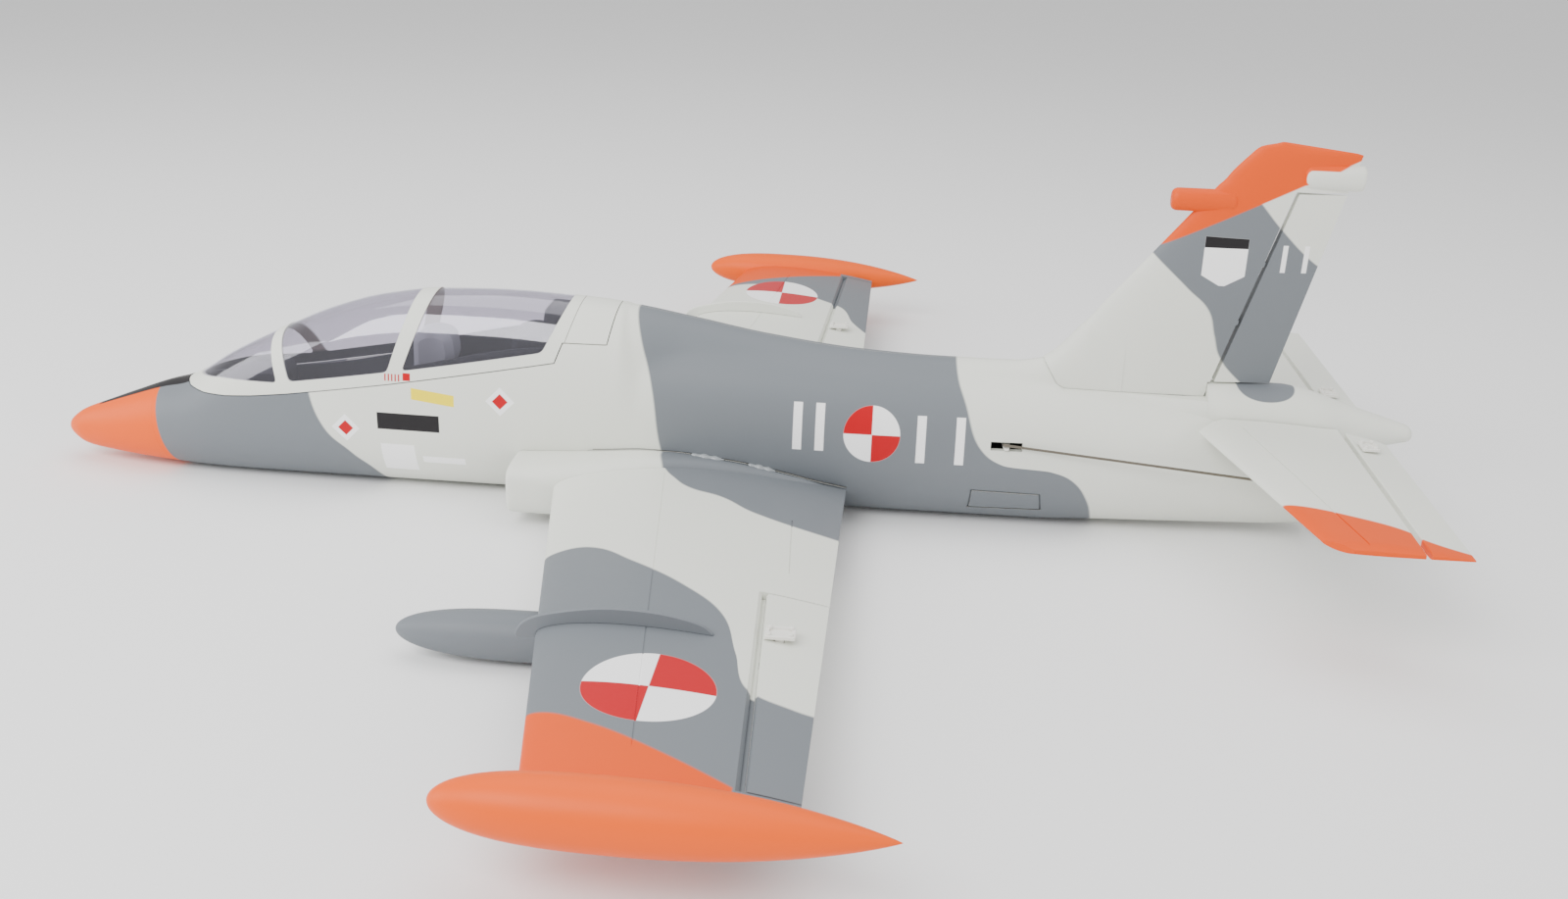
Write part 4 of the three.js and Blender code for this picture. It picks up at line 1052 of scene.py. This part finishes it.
def fin_half(z):
    ease = math.sqrt(max(1 - max((z - 256) / 10.4, 0) ** 2, 0.02))
    return (FIN["root"] + (z - SEAM_Z) * (FIN["tip"] - FIN["root"]) / (FIN["top"] - SEAM_Z)) * ease


def fin_shape():
    rings = []
    for z in [*np.linspace(SEAM_Z - 12, FIN["cap"] - 2, 34),
              *np.linspace(FIN["cap"], FIN["top"] - 0.4, 30)]:
        chord = fin_trail(z) - fin_lead(z)
        ring = foil_ring(fin_lead(z), chord, 2 * fin_half(z) / chord, 0)
        rings.append([(x, side, z) for x, side in ring])
    return loft(rings)


def bullet(x0, x1, z, high, half):
    """A blunt round pod along the fin."""
    steps = [(x0, 0.62), (x0 + 0.4, 0.76), (x0 + 1.4, 0.9), (x0 + 3, 0.985), (x0 + 5, 1),
             (x1 - 2.5, 1), (x1 - 1, 0.95), (x1 - 0.2, 0.86), (x1, 0.76)]
    return loft([[(x, half * f * math.sin(t), z + high * f * math.cos(t)) for t in turn_steps(40)]
                 for x, f in steps])


# ------------------------------------------------------------------ cuts between the body pieces
NOSE_CUT = [(-10, -10), (85, -10), (68, 90), (-10, 90)]
HATCH = [(95.5, 67), (104, 64.6), (118, 63.6), (136, 64), (156, 66), (182, 69.6), (254, 81.6), (371, 103),
         (376, 116), (406, 116), (413, 150), (95, 150)]


FRAME_REAR = [(377, 116), (388.5, 150)]
FIN_SEAM = [(699, 116), (709, SEAM_Z + 4.5), (714, SEAM_Z + 2), (FAIRING_X, SEAM_Z), (FAIRING_X, 105.4),
            (960, 105.4), (960, 300), (640, 300), (640, 130)]


HATCH_SEAM = 0.35             # half the visible width of the gap round the hatch
FRAME_SKIN = 1.5
GLASS = (0.45, 1.25)          # depth of the canopy plastic under the skin line
ARCH_1 = [(175, 76.5), (184, 78), (172, 112), (163.5, 111)]
ARCH_2 = [(255, 90), (265.5, 91.6), (285, 146), (273, 146)]
PANES = [[(104, 70.5), (130, 74.6), ARCH_1[0], ARCH_1[3], (110, 112)],
         [ARCH_1[1], ARCH_2[0], ARCH_2[3], (200, 150), ARCH_1[2]],
         [ARCH_2[1], (362, 109), (381.5, 148), ARCH_2[2]]]


SPAR = {"x": 490, "z": 28, "radius": 3, "half": 165}
ACCESS_PANEL = [(655, 14), (704, 15), (702, 29), (656, 30), (655, 14)]
CRACKS = [(398, 440, 0.6), (440, 470, 0.9), (486, 507, 1.1), (522, 571, 1.3)]     # from x, to x, width
CRACK_DEPTH = 2.5


def stations(low, high, step=4.0):
    inner = np.arange(low + step, high - step * 0.3, step)
    return [low, *inner, high]


def skin_tool(grow, low, high):
    """A stretch of the fuselage, grown, as a cutter."""
    return body_shape(-grow, stations(low, high, 6), 44)


def spar_room():
    return rod((SPAR["x"], -SPAR["half"] - GAP, SPAR["z"]), (SPAR["x"], SPAR["half"] + GAP, SPAR["z"]),
               SPAR["radius"] + GAP)


def cavity():
    """The hollow inside the foam shell of the fuselage."""
    wall = smooth([(90, 5), (760, 4.5), (NOZZLE_X, 3)])
    places = [93, *stations(100, 412.9, 8), *stations(413, NOZZLE_X, 8)]
    rings = [body_ring(x, wall(x), 40) for x in places]
    last = rings[-1].copy()
    last[:, 0] = NOZZLE_X + 6
    return loft([*rings, last])


def mark_inside(obj, middle=50):
    """Gives the faces that look towards the centre line the second material."""
    for face in obj.data.polygons:
        centre = face.center / MM
        if face.normal.y * centre.y + face.normal.z * (centre.z - middle) < 0:
            face.material_index = 1


# ------------------------------------------------------------------ servos and their pockets
SERVO = {"long": 20, "wide": 9, "tall": 16.5, "shaft": 5, "boss": 2.6}
CLEAR = 0.4
HORN_HALF = 0.8
AILERON_ARM = {"x": 470, "y": 280, "z": 35.8, "radius": 13}
ELEVATOR_ARM = {"x": 677, "y": 25, "z": 62.4, "radius": 15.5}
RUDDER_ARM = {"along": -62, "side": 2, "up": 38, "radius": 11.5}


def frame_at(origin, x_axis, z_axis):
    x, z = Vector(x_axis).normalized(), Vector(z_axis).normalized()
    turn = Matrix((x, z.cross(x), z)).transposed().to_4x4()
    return Matrix.Translation(origin) @ turn


RUDDER_FRAME = Matrix.Translation((RUDDER_HINGE[0][0], 0, RUDDER_HINGE[0][1])) @ Matrix.Rotation(
    RUDDER_TILT, 4, "Y")


RUDDER_SERVO = RUDDER_FRAME @ frame_at(
    (RUDDER_ARM["along"], RUDDER_ARM["side"], RUDDER_ARM["up"] - HORN_HALF - GAP), (1, 0, 0), (0, 0, 1))


AILERON_SERVO = frame_at((AILERON_ARM["x"], -AILERON_ARM["y"] + HORN_HALF + GAP, AILERON_ARM["z"]),
                         (1, 0, 0), (0, -1, 0))


ELEVATOR_SERVO = frame_at((ELEVATOR_ARM["x"], -ELEVATOR_ARM["y"], ELEVATOR_ARM["z"] + HORN_HALF + GAP),
                          (1, 0, 0), (0, 0, -1))


def servo_room(matrix, open_to=SERVO["wide"] / 2 + CLEAR):
    """The pocket for a servo, its lugs and its arm. open_to is how far it reaches out of the skin."""
    far = SERVO["long"] - SERVO["shaft"] + CLEAR
    side = SERVO["wide"] / 2 + CLEAR
    low = -SERVO["boss"] - SERVO["tall"] - CLEAR
    case = box((-SERVO["shaft"] - CLEAR, -open_to, low), (far, side, -SERVO["boss"] + CLEAR))
    lugs = box((-SERVO["shaft"] - 4, -open_to, -SERVO["boss"] - 6.9),
               (far + 3.6, side, -SERVO["boss"] - 4.6))
    arm = box((-8, -open_to, -SERVO["boss"] - 1), (8, 4.2, 2 * HORN_HALF + 2 * GAP + CLEAR))
    return place(join(case, lugs, arm), matrix)


# ------------------------------------------------------------------ fuselage
def build_fuselage():
    nose = keep_inside(body_shape(0, [x for x in BODY_STATIONS if x < 100]), across(NOSE_CUT))
    finish_piece(nose, "nose", "airframe", ["nose_cone"], "foam_orange", nose_material)

    whole = join(body_shape(0), saddle())
    room = cut(cavity(), box((382, -60, 104), (404, 60, 130)))
    fin_seam = across(offset(FIN_SEAM, GAP / 2))
    cut(whole, room, across(offset(NOSE_CUT, TIGHT)), across(offset(HATCH, HATCH_SEAM)), fin_seam,
        fairing_shape(TIGHT), both_sides(passage_shape(1.8)), spar_room(),
        rod((MAGNET["x"], 0, 111.4), (MAGNET["x"], 0, 120), MAGNET["room"]),
        both_sides(servo_room(ELEVATOR_SERVO)))
    x, z = ELEVATOR_ARM["x"], ELEVATOR_ARM["z"]
    for side in (-1, 1):
        near, far = sorted((side * 48, side * 20))
        cut(whole, box((x - 10.5, near, z - 2), (x + 10.5, far, z + 4)))
    cut(whole, skin_scribe(ACCESS_PANEL, 630, 730))
    cut(whole, *[skin_scribe(crack_line(x0, x1), 390, 580, wide, CRACK_DEPTH) for x0, x1, wide in CRACKS])
    seam = GAP / 2
    left = cut(copy(whole), box((-20, -seam, -20), (ROOM_END, 80, 200)))
    right = cut(whole, box((-20, -80, -20), (ROOM_END, seam, 200)))
    for half, side in ((left, "left"), (right, "right")):
        finish_piece(half, f"fuselage_{side}", "airframe", [f"fuselage_{side}_half"], "foam_light",
                     body_material, raw_foam)
        mark_inside(half)

    finish_piece(fairing_shape(0), "tail_cone", "airframe", ["tail_fairing"], "foam_light",
                 fairing_material)


def skin_scribe(path, low, high, width=1.2, depth=1.4):
    """A cutter for a side-view line of straight runs in the port side of the body."""
    strips = None
    for start, end in zip(path, path[1:]):
        a, b = np.array(start, float), np.array(end, float)
        along = (b - a) / np.linalg.norm(b - a)
        side = np.array([-along[1], along[0]]) * width / 2
        a, b = a - along * width / 2, b + along * width / 2
        strip = prism([tuple(a - side), tuple(b - side), tuple(b + side), tuple(a + side)], -60, -12)
        strips = strip if strips is None else join(strips, strip)
    shell = cut(skin_tool(1, low, high), body_shape(depth, stations(low - 2, high + 2, 6), 44))
    return keep_inside(strips, shell)


def root_crack():
    """The open joint between the body and the wing root, wider towards the trailing edge."""
    front = keep_inside(skin_tool(1.7, 390, 470), box((394, -70, 30), (468, 0, 70)))
    rear = keep_inside(skin_tool(2.8, 460, 580), box((466, -70, 24), (576, 0, 60)))
    return join(front, rear)


def root_top(x):
    """The height of the upper surface where the intake and the wing meet the body."""
    y = side_at(x, 40) + 3
    rows = np.array(INTAKE, float)
    side, up, wide, high, e = [np.interp(x, rows[:, 0], rows[:, i]) for i in range(1, 6)]
    reach = min(abs(-y - side) / wide, 1)
    return max(up + high * (1 - reach ** e) ** (1 / e), wing_skin(x, y, 1))


def crack_line(x0, x1):
    """Side-view points along the top of the joint between the body and the wing root."""
    return [(x, root_top(x) + 0.3) for x in np.linspace(x0, x1, 5)]


def glue_blob(name, x0, x1):
    """A dab of glue that bridges the open joint."""
    rings = []
    for t in np.linspace(0.04, 0.96, 24):
        x = x0 + (x1 - x0) * t
        swell = math.sin(t * math.pi) ** 0.5 * (1 + 0.25 * math.sin(t * 19))
        level = root_top(x)
        y = side_at(x, level) + 1.2
        rings.append([(x, -y + 2.4 * swell * math.cos(a), level + 0.3 + 1.5 * swell * math.sin(a))
                      for a in turn_steps(14)])
    finish_piece(loft(rings), name, "airframe", [], "foam_light", glue)


def build_air_system():
    intake = cut(intake_shape(0), passage_shape(0), skin_tool(SKIN_GAP, 320, 600), root_crack(), spar_room())
    finish_pair(intake, "intake", "airframe", "intake", "foam_light", intake_material)
    glue_blob("glue_front", 465, 489)
    glue_blob("glue_rear", 504, 524)
    tube = cut(tube_shape(0, 0), tube_shape(-1.2, 3))
    finish_piece(tube, "exhaust_tube", "airframe", ["exhaust_duct"], "duct_black", black_duct)


# ------------------------------------------------------------------ wings
FENCE = [(411, 36.6), (408.6, 38.2), (409.3, 42), (414, 47.5), (424, 52), (445, 56.6), (462, 58.2),
         (482, 57.6), (498, 55), (509, 51.6), (514.4, 47)]


AILERON_IN, AILERON_OUT = 229, 429
AILERON_HORN = {"x": 537.6, "y": 280}


def hinge_film():
    """The thin skin left in the foam along the aileron's hinge, which closes the slot."""
    rings = []
    for y in (AILERON_IN - 1, AILERON_OUT + 1):
        x = hinge_plan(0, y, y + 1)[0][0]
        z = wing_skin(x, y, 0)
        rings.append([(x - 2.4, -y, z - 0.35), (x + 0.6, -y, z - 0.35), (x + 0.6, -y, z + 0.35),
                      (x - 2.4, -y, z + 0.35)])
    return loft(rings)


def build_wings():
    x, y = AILERON_HORN["x"], AILERON_HORN["y"]
    under, over = wing_skin(x + 3, y, -1), wing_skin(x + 2.4, y + 8, 1)
    post_room = box((x + 7.7, -y - 4.3, under - 5), (x + 13.3, -y + 4.3, over + 5))
    behind = prism(hinge_plan(1, AILERON_IN, AILERON_OUT), 0, 90, "xy")
    aileron = cut(keep_inside(wing_shape(0), behind), tip_tank(GAP), post_room)

    aileron_room = prism(hinge_plan(-1.6, AILERON_IN - 1.2, AILERON_OUT + 1.2), 0, 90, "xy")
    panel = cut(wing_shape(0), skin_tool(SKIN_GAP, 340, 620), intake_shape(GAP), tip_tank(GAP), aileron_room,
                spar_room(), servo_room(AILERON_SERVO, 14))
    cut(panel, root_crack(), wing_line((452, 69), (493, 408), 0.8, 0.3), wing_line((541, 117), (546, 197)))
    (x0, y0), (x1, y1) = AILERON_HINGE
    bevel = wing_line((x0 - 0.2, y0), (x1 - 0.2, y1 + 1), 6.4, 2.4, 0.3)
    cut(panel, copy(bevel))
    cut(aileron, bevel)

    line = [*bend_through(FENCE, 5), (515, 36), (440, 36), (424, 38.5)]
    fence = cut(plate(line, -FENCE_Y, 2.2, 0.7), wing_shape(GAP))
    join(panel, hinge_film())
    tank = turned(tank_profile(DROP_TANK["nose"], DROP_TANK["length"], DROP_TANK["radius"]),
                  -DROP_TANK["y"], DROP_TANK["z"])
    pylon = plate([(408, 20), (426, 36), (500, 36), (488, 20)], -DROP_TANK["y"], 6, 1.5)
    cut(join(tank, pylon), wing_shape(GAP))
    tip = tip_tank(0)
    finish_pair(panel, "wing", "airframe", "wing", "foam_light", wing_material)
    finish_pair(fence, "fence", "airframe", "wing_fence", "foam_light", wing_material)
    finish_pair(tank, "drop_tank", "airframe", "drop_tank", "foam_grey", grey_foam)
    finish_pair(tip, "tip_tank", "airframe", "tip_tank", "foam_orange", orange_foam)
    finish_pair(aileron, "aileron", "{side}_aileron", "aileron", "foam_light", wing_material)


# ------------------------------------------------------------------ tail
def dorsal():
    """The foot of the fin, where its leading edge curves down into the spine."""
    top = smooth([(690, 112.5), (699, 115.4), (706, 120.2), (712, 126.2), (720, 136), (730, 148),
                  (760, 186)])
    half = smooth([(690, 13), (712, 11), (730, 10.5), (752, 10)])
    angles = np.linspace(0, math.pi, 25)
    rings = []
    for x in np.linspace(692, 752, 40):
        base = SEAM_Z - 6
        rise = min(top(x), 140 + (x - 712) * 0.25) - base
        arc = [(x, half(x) * math.copysign(abs(math.cos(t)) ** 0.9, math.cos(t)),
                base + rise * math.sin(t) ** 0.72) for t in angles]
        rings.append(arc)
    return loft(rings)


def build_fin():
    low = (hinge_x(60) - 1.8, 60)
    high = (hinge_x(RUDDER_HIGH + 1.4) - 1.8, RUDDER_HIGH + 1.4)
    rudder_room = across([low, (905, 60), (905, RUDDER_HIGH + 1.4), high])
    along, up = RUDDER_ARM["along"], RUDDER_ARM["up"]
    mouth = place(box((along - 9, RUDDER_ARM["side"] - 4.9, up - 20.8),
                      (along + 19.2, 16, up + HORN_HALF + 2 * CLEAR)), RUDDER_FRAME)
    body = cut(fin_shape(), rudder_room)
    join(body, dorsal(), bullet(771, 812, 226.5, 7.4, 6.2), bullet(852, 890, 244.6, 8.2, 6))
    keep_inside(body, across(offset(FIN_SEAM, -GAP / 2)))
    cut(body, servo_room(RUDDER_SERVO), mouth, fairing_shape(GAP))
    for up in (42.5, 84):
        strap = place(box((-2.6, -6, up - 1.6), (-0.8, 6, up + 1.6)), RUDDER_FRAME)
        join(body, keep_inside(strap, fin_shape()))
    finish_piece(body, "fin_panel", "airframe", ["fin"], "foam_light", fin_material)

    low, high = (hinge_x(RUDDER_LOW) + 1, RUDDER_LOW), (hinge_x(RUDDER_HIGH) + 1, RUDDER_HIGH)
    rudder = keep_inside(fin_shape(), across([low, (905, RUDDER_LOW), (905, RUDDER_HIGH), high]))
    finish_piece(rudder, "rudder_panel", "rudder", ["rudder"], "foam_light", fin_material)


STAB_OUTLINE = [(780, -37), (803, -37), (812, -26), (824, -19), (824, 5), (ELEVATOR_HINGE_X - 2, 5),
                (ELEVATOR_HINGE_X - 2, -214), (862, -214), (850, -205.5), (838, -196), (780, -100)]


ELEVATOR_OUTLINE = [(ELEVATOR_HINGE_X + 1.2, -25), (918, -34), (930, -46), (930, -214),
                    (ELEVATOR_HINGE_X + 1.2, -214)]


ELEVATOR_HORN = {"x": ELEVATOR_HINGE_X, "y": 52, "z": 49.5}


def build_stabilizers():
    fixed = keep_inside(stab_shape(), prism(STAB_OUTLINE, 40, 120, "xy"))
    cut(fixed, fairing_shape(STAB_ROOT_GAP), skin_tool(SKIN_GAP, 760, 889),
        stab_line((829, 37), (866, 208), 0.9, 0.5))
    x, y = ELEVATOR_HORN["x"], ELEVATOR_HORN["y"]
    level = stab_plane(x + 8)
    post_room = box((x + 6.7, -y - 4.3, level - 8), (x + 11.3, -y + 4.3, level + 8))
    elevator = cut(keep_inside(stab_shape(), prism(ELEVATOR_OUTLINE, 40, 120, "xy")), post_room)
    bevel = stab_line((x - 0.4, 19), (x - 0.4, 212), 5.6, 1.7, 0.3)
    cut(fixed, copy(bevel))
    cut(elevator, bevel)
    finish_pair(fixed, "stab", "airframe", "stabilizer", "foam_light", stab_material)
    finish_pair(elevator, "elevator", "{side}_elevator", "elevator", "foam_light", stab_material)


# ------------------------------------------------------------------ control horns
def slab(x0, x1, y, half, z0, z1, corner=1.0):
    """A flat block with rounded corners in plan."""
    line = rounded([(x0, y - half), (x1, y - half), (x1, y + half), (x0, y + half)], corner, 4)
    return plate(line, (z0 + z1) / 2, z1 - z0, 0.25, "xy")


def horn_pair(surface, blade, y, foot, post, top):
    """On each side, a blade under the surface and a pinned plate on top.

    Each block is x0, x1, half width, z0, z1.
    """
    x0, x1, half, _, z1 = top
    for side, middle in (("left", -y), ("right", y)):
        shape = plate(blade, middle, 2 * HORN_HALF, 0.2)
        rim = cut(slab(x0, x1, middle, half, z1 - 0.3, z1 + 0.9, 1.6),
                  slab(x0 + 2.2, x1 - 2.2, middle, half - 2.2, z1 - 1, z1 + 2, 1.2))
        join(shape, *[slab(a, b, middle, h, c, d) for a, b, h, c, d in (foot, post, top)], rim)
        for x in (x0 + 2.4, x1 - 2.4):
            for pin in (-1, 1):
                at = middle + pin * (half - 2.2)
                join(shape, rod((x, at, z1), (x, at, z1 + 2.1), 1.35, 14))
        finish_piece(shape, f"{surface}_horn_{side}", f"{side}_{surface}", [f"{side}_{surface}_horn"],
                     "horn_nylon", nylon)


def build_horns():
    x, y = AILERON_HORN["x"], AILERON_HORN["y"]
    under, over = wing_skin(x + 3, y, -1), wing_skin(x + 2.4, y + 8, 1)
    tip = wing_skin(x, y, 0) - AILERON_ARM["radius"]
    blade = [(x + 0.6, under - 0.7), (x + 16, under - 0.7), (x + 3, tip - 2), (x - 2.5, tip - 2),
             (x - 2.5, tip + 3)]
    horn_pair("aileron", blade, y, (x + 3, x + 16, 7, under - 1.8, under - 0.7),
              (x + 8, x + 13, 4, under - 1.2, over + 1), (x + 2.6, x + 19, 6, over + 0.5, over + 1.6))
    x, y, z = (ELEVATOR_HORN[k] for k in "xyz")
    under, over = stab_plane(x + 8) - 2.6, stab_plane(x + 8) + 2.6
    blade = [(x + 2.4, under - 1), (x + 17, under - 1), (x + 3.2, z - 2), (x - 2.6, z - 2), (x - 2.6, z + 4)]
    horn_pair("elevator", blade, y, (x + 3, x + 16, 6, under - 2, under - 0.9),
              (x + 7, x + 11, 4, under - 1.5, over + 1), (x + 3.6, x + 14.4, 7.5, over + 0.5, over + 1.6))


# ------------------------------------------------------------------ canopy hatch
RIM = smooth([(110, 68), (152, 68), (180, 70), (254, 84), (368, 105)])
TUB_DEPTH = 21


def tub_ring(x, inset, lift, top):
    """The U of the cockpit tub at station x."""
    half = min(beam(x) * 0.76, side_at(x, RIM(x), 6.6)) - inset
    low = RIM(x) - TUB_DEPTH + lift
    curve = min(5.0, half * 0.3)
    corner = [(half, RIM(x) + top), (half, low + curve)]
    corner += [(half - curve * (1 - math.cos(t)), low + curve * (1 - math.sin(t)))
               for t in np.linspace(0.3, math.pi / 2, 5)]
    return [(x, -y, z) for y, z in corner] + [(x, y, z) for y, z in corner[::-1]]


def seat(x, height):
    """A seat that stands on the floor of the tub."""
    floor = RIM(x) - TUB_DEPTH + 2.2
    top = floor + height
    line = rounded([(x, floor), (x + 30, RIM(x + 30) - 18.4), (x + 46, top - 22), (x + 44, top - 3),
                    (x + 30, top), (x + 17, top - 5), (x + 16, floor + 16), (x, floor + 11)], 7)
    return plate(line, 0, 26, 5)


def build_hatch():
    long = stations(98, 412.9, 3.2)
    skin = cut(body_shape(0, long), body_shape(FRAME_SKIN, [*stations(100, 412.9, 3.2), 420]))
    hatch = across(offset(HATCH, -HATCH_SEAM))
    above = across([(90, 60), (120, 50), (376, 90), FRAME_REAR[0], FRAME_REAR[1], (90, 150)])
    keep_inside(keep_inside(skin, hatch), above)
    cut(skin, *[across(rounded(pane, 3.5)) for pane in PANES])
    finish_piece(skin, "frame_of_canopy", "canopy_hatch", ["canopy_frame"], "foam_light", hatch_material,
                 bare_frame)
    mark_inside(skin, middle=52)

    outer = body_shape(GLASS[0], [106, *stations(110, 386, 3.2)], 70)
    inner = body_shape(GLASS[1], [107.5, *stations(111, 386, 3.2), 392], 70)
    side = across([(100, 68.5), (130, 70), (180, 71.5), (254, 85), (364, 106), (380, 147), (100, 147)])
    glazing = keep_inside(cut(outer, inner), side)
    finish_piece(glazing, "canopy_shell", "canopy_hatch", ["canopy_glazing"], "canopy_clear",
                 canopy_plastic, angle=50)

    rear = across(offset([FRAME_REAR[0], (406, 116), (413, 150), FRAME_REAR[1]], -HATCH_SEAM))
    block = keep_inside(body_shape(0, stations(360, 412.9, 3)), rear)
    cut(block, rod((MAGNET["x"], 0, 110), (MAGNET["x"], 0, 119.8), MAGNET["room"]))
    finish_piece(block, "hatch_block", "canopy_hatch", ["hatch_rear_fairing"], "foam_light", hatch_material)

    wall = 1.4
    tub = cut(loft([tub_ring(x, 0, 0, 6 * min(max((x - 246) / 14, 0), 1))
                    for x in stations(118, 366, 8)]),
              loft([tub_ring(x, wall, wall, 14) for x in stations(118 + wall, 366 - wall, 8)]))
    finish_piece(tub, "tub", "canopy_hatch", ["cockpit_tub"], "cockpit_dark", cockpit_plastic)
    for name, x, height, plastic in (("front_seat", 248, 50, seat_plastic),
                                     ("rear_seat", 318, 40, cockpit_plastic)):
        finish_piece(seat(x, height), f"{name}_shell", "canopy_hatch", [name], "seat_grey", plastic)

    hump = bend_through([(122, 66), (134, 76), (150, 82), (166, 82), (172, 76), (172, 62)])
    shield = plate([*hump, (124, 58)], 0, 30, 7)
    finish_piece(shield, "glare_shield", "canopy_hatch", [], "cockpit_dark", cockpit_plastic)
    headrest = plate(rounded([(356, 110), (377, 108), (383, 133), (360, 134)], 2.5), 0, 28, 2)
    finish_piece(headrest, "rear_bulkhead", "canopy_hatch", [], "cockpit_dark", cockpit_plastic)


# ------------------------------------------------------------------ the CAD parts that stay
def dress_cad():
    sides = [f"{side}_{surface}" for side in ("left", "right") for surface in ("aileron", "elevator")]
    surfaces = [*sides, "rudder"]
    looks = [(black_duct, ["inlet_duct", "fan_housing", "fan_rotor"]), (alloy, ["fan_motor"]),
             (ply, ["battery_tray"]), (carbon, ["wing_spar"]), (steel, ["fuselage_magnet", "hatch_magnet"]),
             (case_plastic, ["battery", "speed_controller", "receiver", "rudder_servo",
                             "left_aileron_servo", "right_aileron_servo"]),
             (servo_plastic, ["left_elevator_servo", "right_elevator_servo"]),
             (nylon, ["rudder_horn", *[f"{surface}_servo_arm" for surface in surfaces]]),
             (rod_steel_with_painted_shade, [f"{surface}_pushrod" for surface in surfaces])]
    for material, nodes in looks:
        for node in nodes:
            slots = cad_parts[node].data.materials
            slots.clear()
            slots.append(material)


raw_foam = plain_foam("raw_foam", srgb(206, 206, 200), 0.6, 0.16)
build_fuselage()
build_air_system()
build_wings()
build_fin()
build_stabilizers()
build_horns()
build_hatch()
dress_cad()


# ------------------------------------------------------------------ floor, lights and camera
FLOOR_HALF = 6.0
FLOOR_DROP = 0.0008           # keeps the floor just clear of the belly


def floor():
    mesh = bpy.data.meshes.new("floor")
    corners = [(-1, -1), (1, -1), (1, 1), (-1, 1)]
    mesh.from_pydata([(x * FLOOR_HALF, y * FLOOR_HALF, cad_low.z - FLOOR_DROP) for x, y in corners],
                     [], [(0, 1, 2, 3)])
    plane = bpy.data.objects.new("floor", mesh)
    bpy.context.scene.collection.objects.link(plane)
    material = bpy.data.materials.new("pale_floor")
    material.use_nodes = True
    shader = material.node_tree.nodes["Principled BSDF"]
    shader.inputs["Base Color"].default_value = (0.9, 0.9, 0.9, 1)
    shader.inputs["Roughness"].default_value = 0.8
    mesh.materials.append(material)


def soft_light(name, place_at, look_at, size, power):
    lamp = bpy.data.lights.new(name, "AREA")
    lamp.shape = "RECTANGLE"
    lamp.size, lamp.size_y = size
    lamp.energy = power
    obj = bpy.data.objects.new(name, lamp)
    obj.location = place_at
    obj.rotation_euler = (Vector(look_at) - Vector(place_at)).to_track_quat("-Z", "Y").to_euler()
    bpy.context.scene.collection.objects.link(obj)


def studio():
    world = bpy.data.worlds.new("studio")
    world.use_nodes = True
    world.node_tree.nodes["Background"].inputs["Color"].default_value = (1, 1, 1, 1)
    world.node_tree.nodes["Background"].inputs["Strength"].default_value = 0.85
    bpy.context.scene.world = world
    soft_light("overhead", (0.1, 0.2, 1.7), (0, 0, 0), (2.6, 1.4), 20)
    soft_light("nose_side", (-1.9, -0.5, 0.7), (-0.2, 0, 0.08), (1.3, 1.0), 16)
    soft_light("front_left", (-0.83, -1.31, 1.53), (-0.15, 0, 0.1), (1.5, 0.9), 34)
    soft_light("front_right", (1.5, -1.5, 0.7), (0.1, 0, 0.08), (1.0, 0.8), 7)


LENS = 34.09
CAMERA_AT = (0.12753, -0.96960, 0.42457)
CAMERA_TURN = (68.2146, -1.6602, 5.1634)


def camera():
    lens = bpy.data.cameras.new("camera")
    lens.lens = LENS
    lens.sensor_width = 36
    lens.clip_start = 0.01
    obj = bpy.data.objects.new("camera", lens)
    obj.location = CAMERA_AT
    obj.rotation_euler = [math.radians(a) for a in CAMERA_TURN]
    bpy.context.scene.collection.objects.link(obj)
    bpy.context.scene.camera = obj


floor()
studio()
camera()
